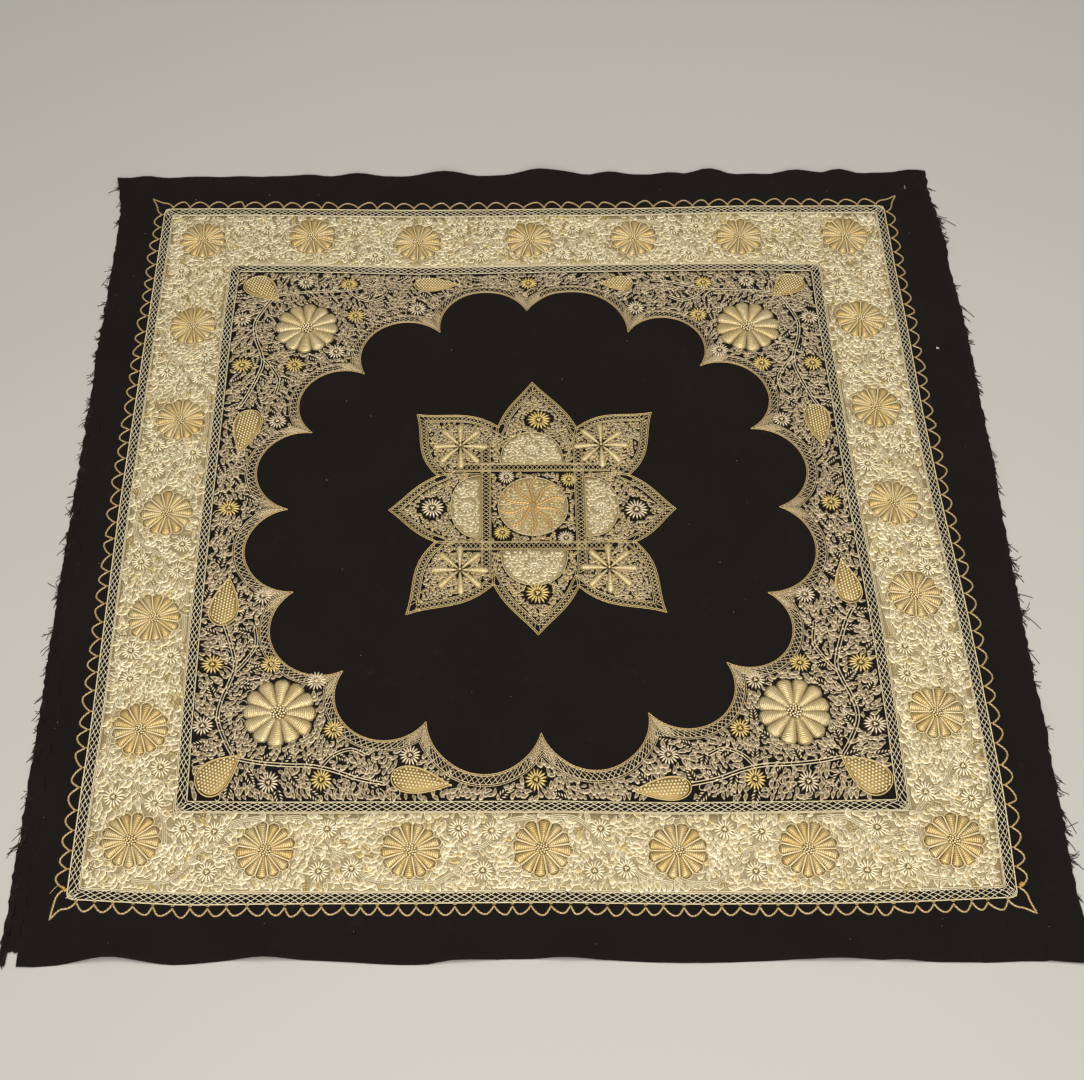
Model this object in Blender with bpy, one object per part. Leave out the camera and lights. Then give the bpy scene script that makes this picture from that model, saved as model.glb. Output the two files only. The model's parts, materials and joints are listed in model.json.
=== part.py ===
# Black wool panel with raised metal-thread embroidery, lying flat, about 1.15 m square.
# Units are metres, +Z is up, and the cloth's underside rests on z = 0.
# +X runs along the front edge and +Y from the front edge to the back edge.

import math
from collections import namedtuple

import bmesh
import bpy
from mathutils import Vector

for stale in list(bpy.data.objects):
    bpy.data.objects.remove(stale, do_unlink=True)

# Heights: the cloth, the worked layer on it, and the padded motifs on that layer.
CLOTH_THICK = 0.0020
GAP = 0.0003
BAND_THICK = 0.0012
LATTICE_THICK = 0.0009
LAYER_Z = CLOTH_THICK + GAP
MOTIF_Z = LAYER_Z + BAND_THICK + GAP

# Square frames of the layout, as half sides from its centre.
OUTLINE_HALF = 0.500
BORDER_OUTER = 0.487
BORDER_INNER = 0.397
FIELD_HALF = 0.384
FLAT_HALF = 0.524

# Outline of the cloth, edge by edge, anticlockwise from the front left corner.
FRONT_EDGE = ((-0.560, -0.5715), (-0.512, -0.5715), (-0.445, -0.5640), (-0.378, -0.5700),
              (-0.286, -0.5640), (-0.140, -0.5705), (-0.085, -0.5665), (0.024, -0.5645),
              (0.150, -0.5690), (0.300, -0.5655), (0.430, -0.5690), (0.516, -0.5680), (0.562, -0.5715))
RIGHT_EDGE = ((0.562, -0.5715), (0.5630, -0.500), (0.5658, -0.390), (0.5668, -0.250), (0.5718, 0.003),
              (0.5768, 0.248), (0.5735, 0.380), (0.5722, 0.463), (0.5683, 0.509), (0.5670, 0.566))
BACK_EDGE = ((0.567, 0.566), (0.470, 0.563), (0.310, 0.563), (0.170, 0.5625), (-0.050, 0.5615),
             (-0.180, 0.5610), (-0.400, 0.5625), (-0.520, 0.5605), (-0.573, 0.555))
LEFT_EDGE = ((-0.573, 0.555), (-0.5665, 0.520), (-0.562, 0.470), (-0.562, 0.180), (-0.5615, 0.000),
             (-0.5605, -0.250), (-0.5590, -0.420), (-0.5600, -0.530), (-0.560, -0.5715))

# Ripples of the loose margin: place along the edge, half width, lift at the edge.
Ripple = namedtuple("Ripple", "place half lift")
BACK_RIPPLES = (Ripple(-0.531, 0.028, 0.004), Ripple(-0.309, 0.036, 0.004), Ripple(-0.236, 0.042, 0.007),
                Ripple(-0.114, 0.060, 0.010), Ripple(0.028, 0.070, 0.013), Ripple(0.119, 0.036, 0.007),
                Ripple(0.207, 0.034, 0.005), Ripple(0.261, 0.040, 0.011), Ripple(0.387, 0.046, 0.008),
                Ripple(0.445, 0.034, 0.009), Ripple(0.545, 0.034, 0.005))
FRONT_RIPPLES = (Ripple(-0.445, 0.056, 0.010), Ripple(-0.286, 0.050, 0.009), Ripple(-0.082, 0.044, 0.006),
                 Ripple(0.027, 0.046, 0.007), Ripple(0.301, 0.060, 0.007), Ripple(0.368, 0.040, 0.005))
LEFT_RIPPLES = (Ripple(0.552, 0.050, 0.006), Ripple(0.260, 0.070, 0.003), Ripple(-0.120, 0.080, 0.003))
RIGHT_RIPPLES = (Ripple(-0.545, 0.060, 0.006), Ripple(-0.300, 0.060, 0.005), Ripple(0.060, 0.090, 0.004),
                 Ripple(0.430, 0.050, 0.004))
RING_SHARES = (0.0, 0.22, 0.52, 1.0)
PLAIN_STEP = 0.075
CLOSEST_STEP = 0.006

# Torn notch at the front left corner.
NOTCH_MID = (-0.5470, -0.5665)
NOTCH_SIZE = (0.0105, 0.0190)
NOTCH_TURN = math.radians(6)

# Scalloped cord outside the lattice frame: loops on each side and how far they stand out.
PICOTS_FRONT, PICOTS_RIGHT, PICOTS_BACK, PICOTS_LEFT = 44, 41, 38, 42
PICOT_START = 0.4885
PICOT_FOOT = 0.5020
PICOT_HEAD = 0.5140
PICOT_CORNER = 0.5190
PICOT_SHOULDER = 0.27
PICOT_WIDTH = 0.0024
PICOT_HEIGHT = 0.0016

# Cusps of the scalloped opening, as angle in degrees and radius, anticlockwise from the right.
Cusp = namedtuple("Cusp", "angle radius")
CUSPS = (Cusp(-0.9, 0.303), Cusp(22.3, 0.300), Cusp(44.1, 0.310), Cusp(64.0, 0.3015),
         Cusp(90.0, 0.3105), Cusp(112.7, 0.2955), Cusp(136.0, 0.2935), Cusp(158.1, 0.296),
         Cusp(181.2, 0.294), Cusp(203.6, 0.308), Cusp(226.2, 0.317), Cusp(247.1, 0.3185),
         Cusp(270.9, 0.309), Cusp(294.0, 0.3125), Cusp(315.0, 0.3125), Cusp(335.3, 0.304))
LOBE_RISE = 0.045
LOBE_STEPS = 6
EDGING_WIDTH = 0.0130

# Star: centre, eight tips and the notches between them, anticlockwise from the right.
STAR_MID = (0.002, -0.003)
STAR_TIPS = ((0.1770, -0.0070), (0.1560, 0.1410), (0.0046, 0.1906), (-0.1430, 0.1390),
             (-0.1750, -0.0080), (-0.1510, -0.1560), (0.0046, -0.1840), (0.1560, -0.1540))
STAR_NOTCHES = ((0.1230, 0.0436), (0.0597, 0.1179), (-0.0400, 0.1200), (-0.1163, 0.0429),
                (-0.1179, -0.0543), (-0.0474, -0.1156), (0.0540, -0.1190), (0.1255, -0.0550))
CARDINAL_BELLY = 0.0050
DIAGONAL_BELLY = 0.0090
STAR_SIDE_STEPS = 5
SQUARE_MID = 0.0575
SQUARE_WIDTH = 0.0120
SQUARE_REACH = 0.0960

# Raised rounds: petals, outer radius, radius at the petal's foot in the rim, ridge and valley heights.
Round = namedtuple("Round", "petals outer inner crown_at ridge valley button button_z")
ROSETTE = Round(14, 0.0325, 0.0295, 0.0215, 0.0030, 0.0012, 0.0070, 0.0016)
CORNER_FLOWER = Round(12, 0.0430, 0.0385, 0.0290, 0.0034, 0.0014, 0.0090, 0.0018)
CENTRE_ROUND = Round(10, 0.0430, 0.0415, 0.0280, 0.0026, 0.0014, 0.0080, 0.0016)
ROSETTE_PITCH = 0.1465
ROSETTE_LINE = 0.4400
ROSETTES_EACH_SIDE = 3
CORNER_FLOWER_AT = (0.290, 0.282)

# Buds: place, length, width and the direction the tip points, in degrees.
Bud = namedtuple("Bud", "x y length width points")
BUDS = (Bud(0.357, 0.353, 0.054, 0.037, 225), Bud(-0.357, 0.353, 0.054, 0.037, 315),
        Bud(-0.357, -0.358, 0.054, 0.037, 45), Bud(0.357, -0.356, 0.054, 0.037, 135),
        Bud(0.120, 0.361, 0.048, 0.021, 180), Bud(-0.124, 0.361, 0.048, 0.021, 0),
        Bud(-0.124, -0.363, 0.058, 0.024, 356), Bud(0.138, -0.366, 0.058, 0.024, 184),
        Bud(0.364, 0.125, 0.060, 0.027, 272), Bud(0.373, -0.118, 0.056, 0.027, 94),
        Bud(-0.360, 0.124, 0.066, 0.031, 266), Bud(-0.363, -0.136, 0.062, 0.031, 88))
BUD_STEPS = 7
BUD_FULLNESS = 1.34
BUD_TAPER = 1.15
BUD_HEIGHT = 0.0026
CROWN_SHARE = 0.62

# Half moons on the star: side of the square they stand on in degrees, chord, depth, foot of the flat side.
Moon = namedtuple("Moon", "name faces chord depth foot")
MOONS = (Moon("right", 0, 0.088, 0.036, 0.0685), Moon("back", 90, 0.078, 0.047, 0.0650),
         Moon("left", 180, 0.091, 0.034, 0.0655), Moon("front", 270, 0.080, 0.046, 0.0665))
MOON_STEPS = 10
MOON_HEIGHT = 0.0022

# Edges sharper than this stay sharp when a piece is shaded smooth.
SHARP_ANGLE = math.radians(40)


def finish(name, colour, roughness, metallic):
    """A plain material of this name."""
    material = bpy.data.materials.new(name)
    material.use_nodes = True
    shader = material.node_tree.nodes["Principled BSDF"]
    shader.inputs["Base Color"].default_value = (*colour, 1)
    shader.inputs["Roughness"].default_value = roughness
    shader.inputs["Metallic"].default_value = metallic
    return material


WOOL = finish("black_wool", (0.010, 0.009, 0.008), 0.95, 0.0)
PALE_GOLD = finish("pale_gold_thread", (0.62, 0.53, 0.32), 0.45, 0.5)
DEEP_GOLD = finish("deep_gold_thread", (0.52, 0.38, 0.16), 0.45, 0.5)
SILVER_GREY = finish("silver_grey_thread", (0.36, 0.33, 0.27), 0.50, 0.5)
COPPER_GOLD = finish("copper_gold_cord", (0.48, 0.29, 0.11), 0.50, 0.5)


def smooth_line(points, steps):
    """Points on one smooth curve through these, with this many steps between each two."""
    line = []
    for i in range(len(points) - 1):
        a, b = points[max(i - 1, 0)], points[i]
        c, d = points[i + 1], points[min(i + 2, len(points) - 1)]
        for step in range(steps):
            t = step / steps
            line.append(tuple(
                0.5 * (2 * q + (r - p) * t + (2 * p - 5 * q + 4 * r - s) * t ** 2
                       + (3 * q - p - 3 * r + s) * t ** 3)
                for p, q, r, s in zip(a, b, c, d)))
    line.append(points[-1])
    return line


def across_at(edge, axis, place):
    """How far out the edge lies at this place along it; axis 0 is an edge that runs along X."""
    line = smooth_line(edge, 8)
    for a, b in zip(line, line[1:]):
        low, high = sorted((a[axis], b[axis]))
        if low <= place <= high and high > low:
            share = (place - a[axis]) / (b[axis] - a[axis])
            return a[1 - axis] + share * (b[1 - axis] - a[1 - axis])
    return edge[-1][1 - axis]


def lift_at(ripples, place):
    """Height of the rippled edge above where it lies flat."""
    lifts = [r.lift * math.cos(math.pi / 2 * (place - r.place) / r.half) ** 2
             for r in ripples if abs(place - r.place) < r.half]
    return max(lifts, default=0.0)


def places_along(ripples, start, end):
    """Where the edge needs points: at its ends, each half ripple and every plain step between."""
    low, high = sorted((start, end))
    wanted = {low, high}
    for r in ripples:
        wanted.update(r.place + share * r.half for share in (-1, -0.5, 0, 0.5, 1))
    steps = max(1, round((high - low) / PLAIN_STEP))
    wanted.update(low + (high - low) * i / steps for i in range(steps))
    kept = [low]
    for place in sorted(w for w in wanted if low < w < high):
        if place - kept[-1] > CLOSEST_STEP and high - place > CLOSEST_STEP:
            kept.append(place)
    kept.append(high)
    return kept if start < end else kept[::-1]


def edge_columns(edge, ripples, axis):
    """For each place along one edge: the outer point, the point on the flat square, and the lift."""
    columns = []
    start, end = edge[0][axis], edge[-1][axis]
    for place in places_along(ripples, start, end)[:-1]:
        share = (place - start) / (end - start)
        inner_along = FLAT_HALF * (2 * share - 1) * (1 if end > start else -1)
        across = across_at(edge, axis, place)
        inner_across = math.copysign(FLAT_HALF, across)
        outer, inner = (place, across), (inner_along, inner_across)
        if axis == 1:
            outer, inner = outer[::-1], inner[::-1]
        columns.append((Vector(outer), Vector(inner), lift_at(ripples, place)))
    return columns


def mesh_object(name, mesh_builder, material, where=(0, 0, 0), turn=0.0):
    """A named object from a closed bmesh, parented to the layout."""
    mesh = bpy.data.meshes.new(name)
    mesh_builder.normal_update()
    mesh_builder.to_mesh(mesh)
    mesh_builder.free()
    mesh.shade_smooth()
    mesh.set_sharp_from_angle(angle=SHARP_ANGLE)
    return placed(name, mesh, material, where, turn)


def placed(name, data, material, where=(0, 0, 0), turn=0.0):
    made = bpy.data.objects.new(name, data)
    bpy.context.scene.collection.objects.link(made)
    if not data.materials:
        data.materials.append(material)
    made.parent = layout
    made.location = where
    made.rotation_euler = (0, 0, turn)
    return made


def flat_piece(name, outlines, thick, z, material):
    """A flat plate of this outline; further outlines are its openings."""
    curve = bpy.data.curves.new(name, "CURVE")
    curve.dimensions = "2D"
    curve.fill_mode = "BOTH"
    curve.extrude = thick / 2
    for outline in outlines:
        spline = curve.splines.new("POLY")
        spline.points.add(len(outline) - 1)
        for point, (x, y) in zip(spline.points, outline):
            point.co = (x, y, 0, 1)
        spline.use_cyclic_u = True
    return placed(name, curve, material, (0, 0, z + thick / 2))


def square(half):
    return [(-half, -half), (half, -half), (half, half), (-half, half)]


def relief(rings):
    """A closed solid from rings of points, the first on the ground and the last closing the top."""
    made = bmesh.new()
    loops = [[made.verts.new(point) for point in ring] for ring in rings]
    made.faces.new(loops[0][::-1])
    for lower, upper in zip(loops, loops[1:]):
        for i in range(len(lower)):
            j = (i + 1) % len(lower)
            made.faces.new((lower[i], lower[j], upper[j], upper[i]))
    made.faces.new(loops[-1])
    return made


def ground_cloth():
    """The cloth: a flat middle and a margin that lifts in ripples towards its edge."""
    columns = (edge_columns(FRONT_EDGE, FRONT_RIPPLES, 0) + edge_columns(RIGHT_EDGE, RIGHT_RIPPLES, 1)
               + edge_columns(BACK_EDGE, BACK_RIPPLES, 0) + edge_columns(LEFT_EDGE, LEFT_RIPPLES, 1))
    made = bmesh.new()
    sheets = []
    for base in (0.0, CLOTH_THICK):
        rings = []
        for share in RING_SHARES:
            ring = []
            for outer, inner, lift in columns:
                flat = outer.lerp(inner, share)
                ring.append(made.verts.new((flat.x, flat.y, base + lift * (1 - share) ** 2)))
            rings.append(ring)
        middle = made.verts.new((0, 0, base))
        sheets.append((rings, middle))
    count = len(columns)
    for (rings, middle), up in zip(sheets, (False, True)):
        for i in range(count):
            j = (i + 1) % count
            faces = [(a[i], a[j], b[j], b[i]) for a, b in zip(rings, rings[1:])]
            faces.append((rings[-1][i], rings[-1][j], middle))
            for face in faces:
                made.faces.new(face if up else face[::-1])
    below, above = sheets[0][0][0], sheets[1][0][0]
    for i in range(count):
        j = (i + 1) % count
        made.faces.new((below[i], below[j], above[j], above[i]))
    cloth = mesh_object("ground_cloth", made, WOOL)
    notch = bmesh.new()
    bmesh.ops.create_cube(notch, size=1.0)
    bmesh.ops.scale(notch, vec=(*NOTCH_SIZE, 10 * CLOTH_THICK), verts=notch.verts)
    cutter = mesh_object("notch_cutter", notch, WOOL, (*NOTCH_MID, 0), NOTCH_TURN)
    cutter.hide_render = True
    cutter.display_type = "WIRE"
    tear = cloth.modifiers.new("torn_notch", "BOOLEAN")
    tear.operation = "DIFFERENCE"
    tear.solver = "EXACT"
    tear.object = cutter


def lobe_circles():
    """Centre and radius of each lobe of the opening, an arc through two neighbouring cusps."""
    points = [Vector((c.radius * math.cos(math.radians(c.angle)), c.radius * math.sin(math.radians(c.angle))))
              for c in CUSPS]
    circles = []
    for a, b in zip(points, points[1:] + points[:1]):
        half_chord = (b - a).length / 2
        radius = (half_chord ** 2 + LOBE_RISE ** 2) / (2 * LOBE_RISE)
        outward = Vector((b.y - a.y, a.x - b.x)).normalized()
        circles.append(((a + b) / 2 + outward * (LOBE_RISE - radius), radius))
    return circles


def outer_crossing(one, other):
    """Where two circles meet, on the side away from the panel's centre."""
    (p, r), (q, s) = one, other
    apart = (q - p).length
    along = (apart ** 2 + r ** 2 - s ** 2) / (2 * apart)
    across = math.sqrt(max(r ** 2 - along ** 2, 0))
    direction = (q - p) / apart
    side = Vector((direction.y, -direction.x))
    meets = [p + direction * along + side * across * sign for sign in (1, -1)]
    return max(meets, key=lambda point: point.length)


def scalloped_line(offset):
    """The opening's outline moved outwards by this much."""
    circles = [(mid, radius + offset) for mid, radius in lobe_circles()]
    corners = [outer_crossing(circles[i - 1], circles[i]) for i in range(len(circles))]
    line = []
    for i, (mid, radius) in enumerate(circles):
        first = corners[i] - mid
        last = corners[(i + 1) % len(corners)] - mid
        start = math.atan2(first.y, first.x)
        sweep = (math.atan2(last.y, last.x) - start) % (2 * math.pi)
        for step in range(LOBE_STEPS):
            angle = start + sweep * step / LOBE_STEPS
            line.append((mid.x + radius * math.cos(angle), mid.y + radius * math.sin(angle)))
    return line


def star_line():
    """Star outline: each side leaves its notch full and reaches the tip lean."""
    line = []
    for i, tip in enumerate(STAR_TIPS):
        belly = DIAGONAL_BELLY if i % 2 else CARDINAL_BELLY
        tip = Vector(tip)
        before, after = Vector(STAR_NOTCHES[i - 1]), Vector(STAR_NOTCHES[i])
        outward = (tip - Vector(STAR_MID)).normalized()
        for notch, rising in ((before, True), (after, False)):
            chord = tip - notch
            normal = Vector((-chord.y, chord.x)).normalized()
            if normal.dot(notch - Vector(STAR_MID) - outward * (notch - Vector(STAR_MID)).dot(outward)) < 0:
                normal = -normal
            shares = [step / STAR_SIDE_STEPS for step in range(STAR_SIDE_STEPS)]
            if not rising:
                shares = [1 - share for share in shares]
            for share in shares:
                swell = belly * math.sin(math.pi * share) * (1 - share)
                point = notch + chord * share + normal * 2 * swell
                line.append((point.x, point.y))
    return line


def raised_round(name, kind, where, material, turn=0.0):
    """A round of padded petals about a button."""
    rings = []
    for at_ridge, at_valley, ridge_z, valley_z in (
            (kind.outer, kind.inner, 0.0, 0.0),
            (kind.crown_at, kind.crown_at, kind.ridge, kind.valley),
            (kind.button, kind.button, kind.button_z, kind.button_z)):
        ring = []
        for step in range(2 * kind.petals):
            angle = math.pi * step / kind.petals
            radius, z = (at_valley, valley_z) if step % 2 else (at_ridge, ridge_z)
            ring.append((radius * math.cos(angle), radius * math.sin(angle), z))
        rings.append(ring)
    mesh_object(name, relief(rings), material, where, turn)


def bud_outline(length, width):
    """A drop with its round end at -X and its tip at +X, centred on its length."""
    upper = []
    for step in range(BUD_STEPS + 1):
        angle = math.pi * step / BUD_STEPS
        fullness = BUD_FULLNESS * math.sin(angle) * math.sin(angle / 2) ** BUD_TAPER
        upper.append((length / 2 * math.cos(angle), width / 2 * fullness))
    return upper + [(x, -y) for x, y in upper[-2:0:-1]]


def crowned(outline, height):
    """A low dome on this outline."""
    mid = sum((Vector(point) for point in outline), Vector((0, 0))) / len(outline)
    crown = [mid.lerp(Vector(point), CROWN_SHARE) for point in outline]
    return relief([[(x, y, 0) for x, y in outline], [(p.x, p.y, height) for p in crown]])


def moon_outline(chord, depth):
    """A half round standing on the X axis, its flat side on it."""
    return [(chord / 2 * math.cos(math.pi * step / MOON_STEPS), depth * math.sin(math.pi * step / MOON_STEPS) ** 0.8)
            for step in range(MOON_STEPS + 1)]


def picot_side(count, turn):
    """Points of the loops along one side, then the pointed loop at the corner that ends it."""
    pitch = 2 * PICOT_START / count
    points = []
    for i in range(count):
        foot = -PICOT_START + i * pitch
        points.append((foot, -PICOT_FOOT))
        points.append((foot + PICOT_SHOULDER * pitch, -PICOT_HEAD))
        points.append((foot + (1 - PICOT_SHOULDER) * pitch, -PICOT_HEAD))
    points.append((PICOT_START, -PICOT_FOOT))
    points.append(((PICOT_START + PICOT_CORNER) / 2, -PICOT_HEAD))
    points.append((PICOT_CORNER, -PICOT_CORNER))
    points.append((PICOT_HEAD, -(PICOT_START + PICOT_CORNER) / 2))
    cos, sin = math.cos(turn), math.sin(turn)
    return [Vector((x * cos - y * sin, x * sin + y * cos)) for x, y in points]


def picot_cord():
    """One closed cord, three-sided and flat below, laid in loops round the lattice frame."""
    path = []
    for i, count in enumerate((PICOTS_FRONT, PICOTS_RIGHT, PICOTS_BACK, PICOTS_LEFT)):
        path += picot_side(count, i * math.pi / 2)
    made = bmesh.new()
    rows = []
    for i, here in enumerate(path):
        ahead = (path[(i + 1) % len(path)] - here).normalized()
        behind = (here - path[i - 1]).normalized()
        side = Vector((-ahead.y - behind.y, ahead.x + behind.x)).normalized()
        mitre = 1 / max(side.dot(Vector((-ahead.y, ahead.x))), 0.7)
        offset = side * PICOT_WIDTH / 2 * mitre
        left, right = here + offset, here - offset
        rows.append([made.verts.new((left.x, left.y, 0)), made.verts.new((right.x, right.y, 0)),
                     made.verts.new((here.x, here.y, PICOT_HEIGHT))])
    for i in range(len(rows)):
        row, following = rows[i], rows[(i + 1) % len(rows)]
        for a, b in ((0, 1), (1, 2), (2, 0)):
            made.faces.new((row[a], following[a], following[b], row[b]))
    mesh_object("picot_cord", made, COPPER_GOLD, (0, 0, LAYER_Z))


def square_lattice_line():
    """Outline of four bands crossing like a hash, and the openings between them."""
    low, high = SQUARE_MID - SQUARE_WIDTH / 2, SQUARE_MID + SQUARE_WIDTH / 2
    reach = SQUARE_REACH
    quarter = [(low, -high), (low, -reach), (high, -reach), (high, -high), (reach, -high), (reach, -low),
               (high, -low)]
    line = []
    for i in range(4):
        cos, sin = round(math.cos(i * math.pi / 2)), round(math.sin(i * math.pi / 2))
        line += [(STAR_MID[0] + x * cos - y * sin, STAR_MID[1] + x * sin + y * cos) for x, y in quarter]
    hole = [(STAR_MID[0] + x, STAR_MID[1] + y) for x, y in square(low)]
    return [line, hole]


layout = bpy.data.objects.new("layout", None)
bpy.context.scene.collection.objects.link(layout)
edge_points = [point for edge in (FRONT_EDGE, RIGHT_EDGE, BACK_EDGE, LEFT_EDGE) for point in edge]
layout.location = (-(min(x for x, _ in edge_points) + max(x for x, _ in edge_points)) / 2,
                   -(min(y for _, y in edge_points) + max(y for _, y in edge_points)) / 2, 0)

ground_cloth()
picot_cord()
flat_piece("outer_lattice", [square(OUTLINE_HALF), square(BORDER_OUTER + GAP)], LATTICE_THICK, LAYER_Z, SILVER_GREY)
flat_piece("border_band", [square(BORDER_OUTER), square(BORDER_INNER)], BAND_THICK, LAYER_Z, PALE_GOLD)
flat_piece("inner_lattice", [square(BORDER_INNER - GAP), square(FIELD_HALF)], LATTICE_THICK, LAYER_Z, SILVER_GREY)
flat_piece("flower_field", [square(FIELD_HALF - GAP), scalloped_line(EDGING_WIDTH + GAP)], BAND_THICK, LAYER_Z,
           SILVER_GREY)
flat_piece("scalloped_edging", [scalloped_line(EDGING_WIDTH), scalloped_line(0)], LATTICE_THICK, LAYER_Z,
           COPPER_GOLD)
flat_piece("star_field", [star_line()], BAND_THICK, LAYER_Z, SILVER_GREY)
flat_piece("star_square", square_lattice_line(), LATTICE_THICK, MOTIF_Z, COPPER_GOLD)

spots = range(-ROSETTES_EACH_SIDE, ROSETTES_EACH_SIDE + 1)
rosette_places = [(i * ROSETTE_PITCH, j * ROSETTE_PITCH) for j in spots for i in spots
                  if ROSETTES_EACH_SIDE in (abs(i), abs(j))]
for number, where in enumerate(rosette_places, 1):
    raised_round(f"rosette_{number:02d}", ROSETTE, (*where, MOTIF_Z), DEEP_GOLD)

for number, (side_x, side_y) in enumerate(((-1, -1), (1, -1), (1, 1), (-1, 1)), 1):
    where = (side_x * CORNER_FLOWER_AT[0], side_y * CORNER_FLOWER_AT[1], MOTIF_Z)
    raised_round(f"corner_flower_{number}", CORNER_FLOWER, where, PALE_GOLD)
raised_round("centre_round", CENTRE_ROUND, (*STAR_MID, MOTIF_Z), PALE_GOLD)

for number, bud in enumerate(BUDS, 1):
    mesh_object(f"bud_{number:02d}", crowned(bud_outline(bud.length, bud.width), BUD_HEIGHT), DEEP_GOLD,
                (bud.x, bud.y, MOTIF_Z), math.radians(bud.points))

for moon in MOONS:
    away = math.radians(moon.faces)
    mesh_object(f"half_moon_{moon.name}", crowned(moon_outline(moon.chord, moon.depth), MOON_HEIGHT), PALE_GOLD,
                (STAR_MID[0] + moon.foot * math.cos(away), STAR_MID[1] + moon.foot * math.sin(away), MOTIF_Z),
                away - math.pi / 2)
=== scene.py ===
import json
import math
from collections import namedtuple

import bpy
import numpy as np
from mathutils import Matrix, Vector
from mathutils.kdtree import KDTree

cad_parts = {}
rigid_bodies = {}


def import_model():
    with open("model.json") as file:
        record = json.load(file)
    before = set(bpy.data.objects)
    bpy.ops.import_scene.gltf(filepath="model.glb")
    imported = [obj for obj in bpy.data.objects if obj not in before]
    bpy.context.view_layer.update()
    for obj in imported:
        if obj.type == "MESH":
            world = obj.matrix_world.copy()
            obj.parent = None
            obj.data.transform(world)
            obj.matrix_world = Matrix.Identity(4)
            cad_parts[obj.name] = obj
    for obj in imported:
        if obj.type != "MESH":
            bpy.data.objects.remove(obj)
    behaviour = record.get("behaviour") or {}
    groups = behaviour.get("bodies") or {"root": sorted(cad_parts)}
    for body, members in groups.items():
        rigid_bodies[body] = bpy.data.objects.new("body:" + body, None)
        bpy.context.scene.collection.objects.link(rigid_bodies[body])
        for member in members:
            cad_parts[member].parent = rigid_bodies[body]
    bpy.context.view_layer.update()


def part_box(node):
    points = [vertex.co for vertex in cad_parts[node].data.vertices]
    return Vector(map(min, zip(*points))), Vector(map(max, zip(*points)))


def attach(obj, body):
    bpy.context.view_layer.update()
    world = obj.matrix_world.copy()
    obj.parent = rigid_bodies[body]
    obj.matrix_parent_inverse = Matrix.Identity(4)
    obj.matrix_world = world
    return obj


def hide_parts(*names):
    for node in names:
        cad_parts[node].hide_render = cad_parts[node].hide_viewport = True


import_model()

# ---------- View ----------
# The panel seen by someone who stands at its front edge and looks down at its middle. All places below are
# metres from the middle of the gold border, and MIDDLE is where that middle lies in the frame.
border_low, border_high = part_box("border_band")
MIDDLE = np.array(((border_low.x + border_high.x) / 2, (border_low.y + border_high.y) / 2))

EYE = (-0.06098, -1.08707, 1.6052)
DOWNWARD = math.radians(57.138)
SIDEWARD = math.radians(-0.638)
ROLL = math.radians(0.734)
LENS = 52.63
FRAMING_SHIFT = 0.0646

camera_data = bpy.data.cameras.new("view")
camera_data.lens = LENS
camera_data.sensor_fit = "HORIZONTAL"
camera_data.sensor_width = 36
camera_data.shift_x = FRAMING_SHIFT
camera = bpy.data.objects.new("view", camera_data)
bpy.context.collection.objects.link(camera)
bpy.context.scene.camera = camera
ahead = Vector((math.sin(SIDEWARD) * math.cos(DOWNWARD), math.cos(SIDEWARD) * math.cos(DOWNWARD),
                -math.sin(DOWNWARD)))
level = Vector((math.cos(SIDEWARD), -math.sin(SIDEWARD), 0))
below = ahead.cross(level)
rightward = level * math.cos(ROLL) + below * math.sin(ROLL)
upward = level * math.sin(ROLL) - below * math.cos(ROLL)
turned = Matrix((rightward, upward, -ahead)).transposed().to_4x4()
camera.matrix_world = Matrix.Translation((EYE[0] + MIDDLE[0], EYE[1] + MIDDLE[1], EYE[2])) @ turned


# ---------- Floor and light ----------
# A smooth pale grey floor, wider than the view, under large soft lights: one above the front edge and a
# weaker one high behind, in a dim even room.
class Wire:
    """What one output of a node gives. Sums on it add Math nodes to the same tree."""

    def __init__(self, plan, socket):
        self.plan = plan
        self.socket = socket

    def __getitem__(self, name):
        outputs = self.socket.node.outputs
        return Wire(self.plan, next(s for s in outputs if s.enabled and s.name == name))

    def math(self, operation, first, second=0.0):
        return self.plan.add("ShaderNodeMath", {"operation": operation}, first, second)

    def __add__(self, other):
        return self.math("ADD", self, other)

    def __sub__(self, other):
        return self.math("SUBTRACT", self, other)

    def __mul__(self, other):
        return self.math("MULTIPLY", self, other)

    def __truediv__(self, other):
        return self.math("DIVIDE", self, other)

    def __pow__(self, other):
        return self.math("POWER", self, other)

    def __rsub__(self, other):
        return self.math("SUBTRACT", other, self)

    __radd__ = __add__
    __rmul__ = __mul__


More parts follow.
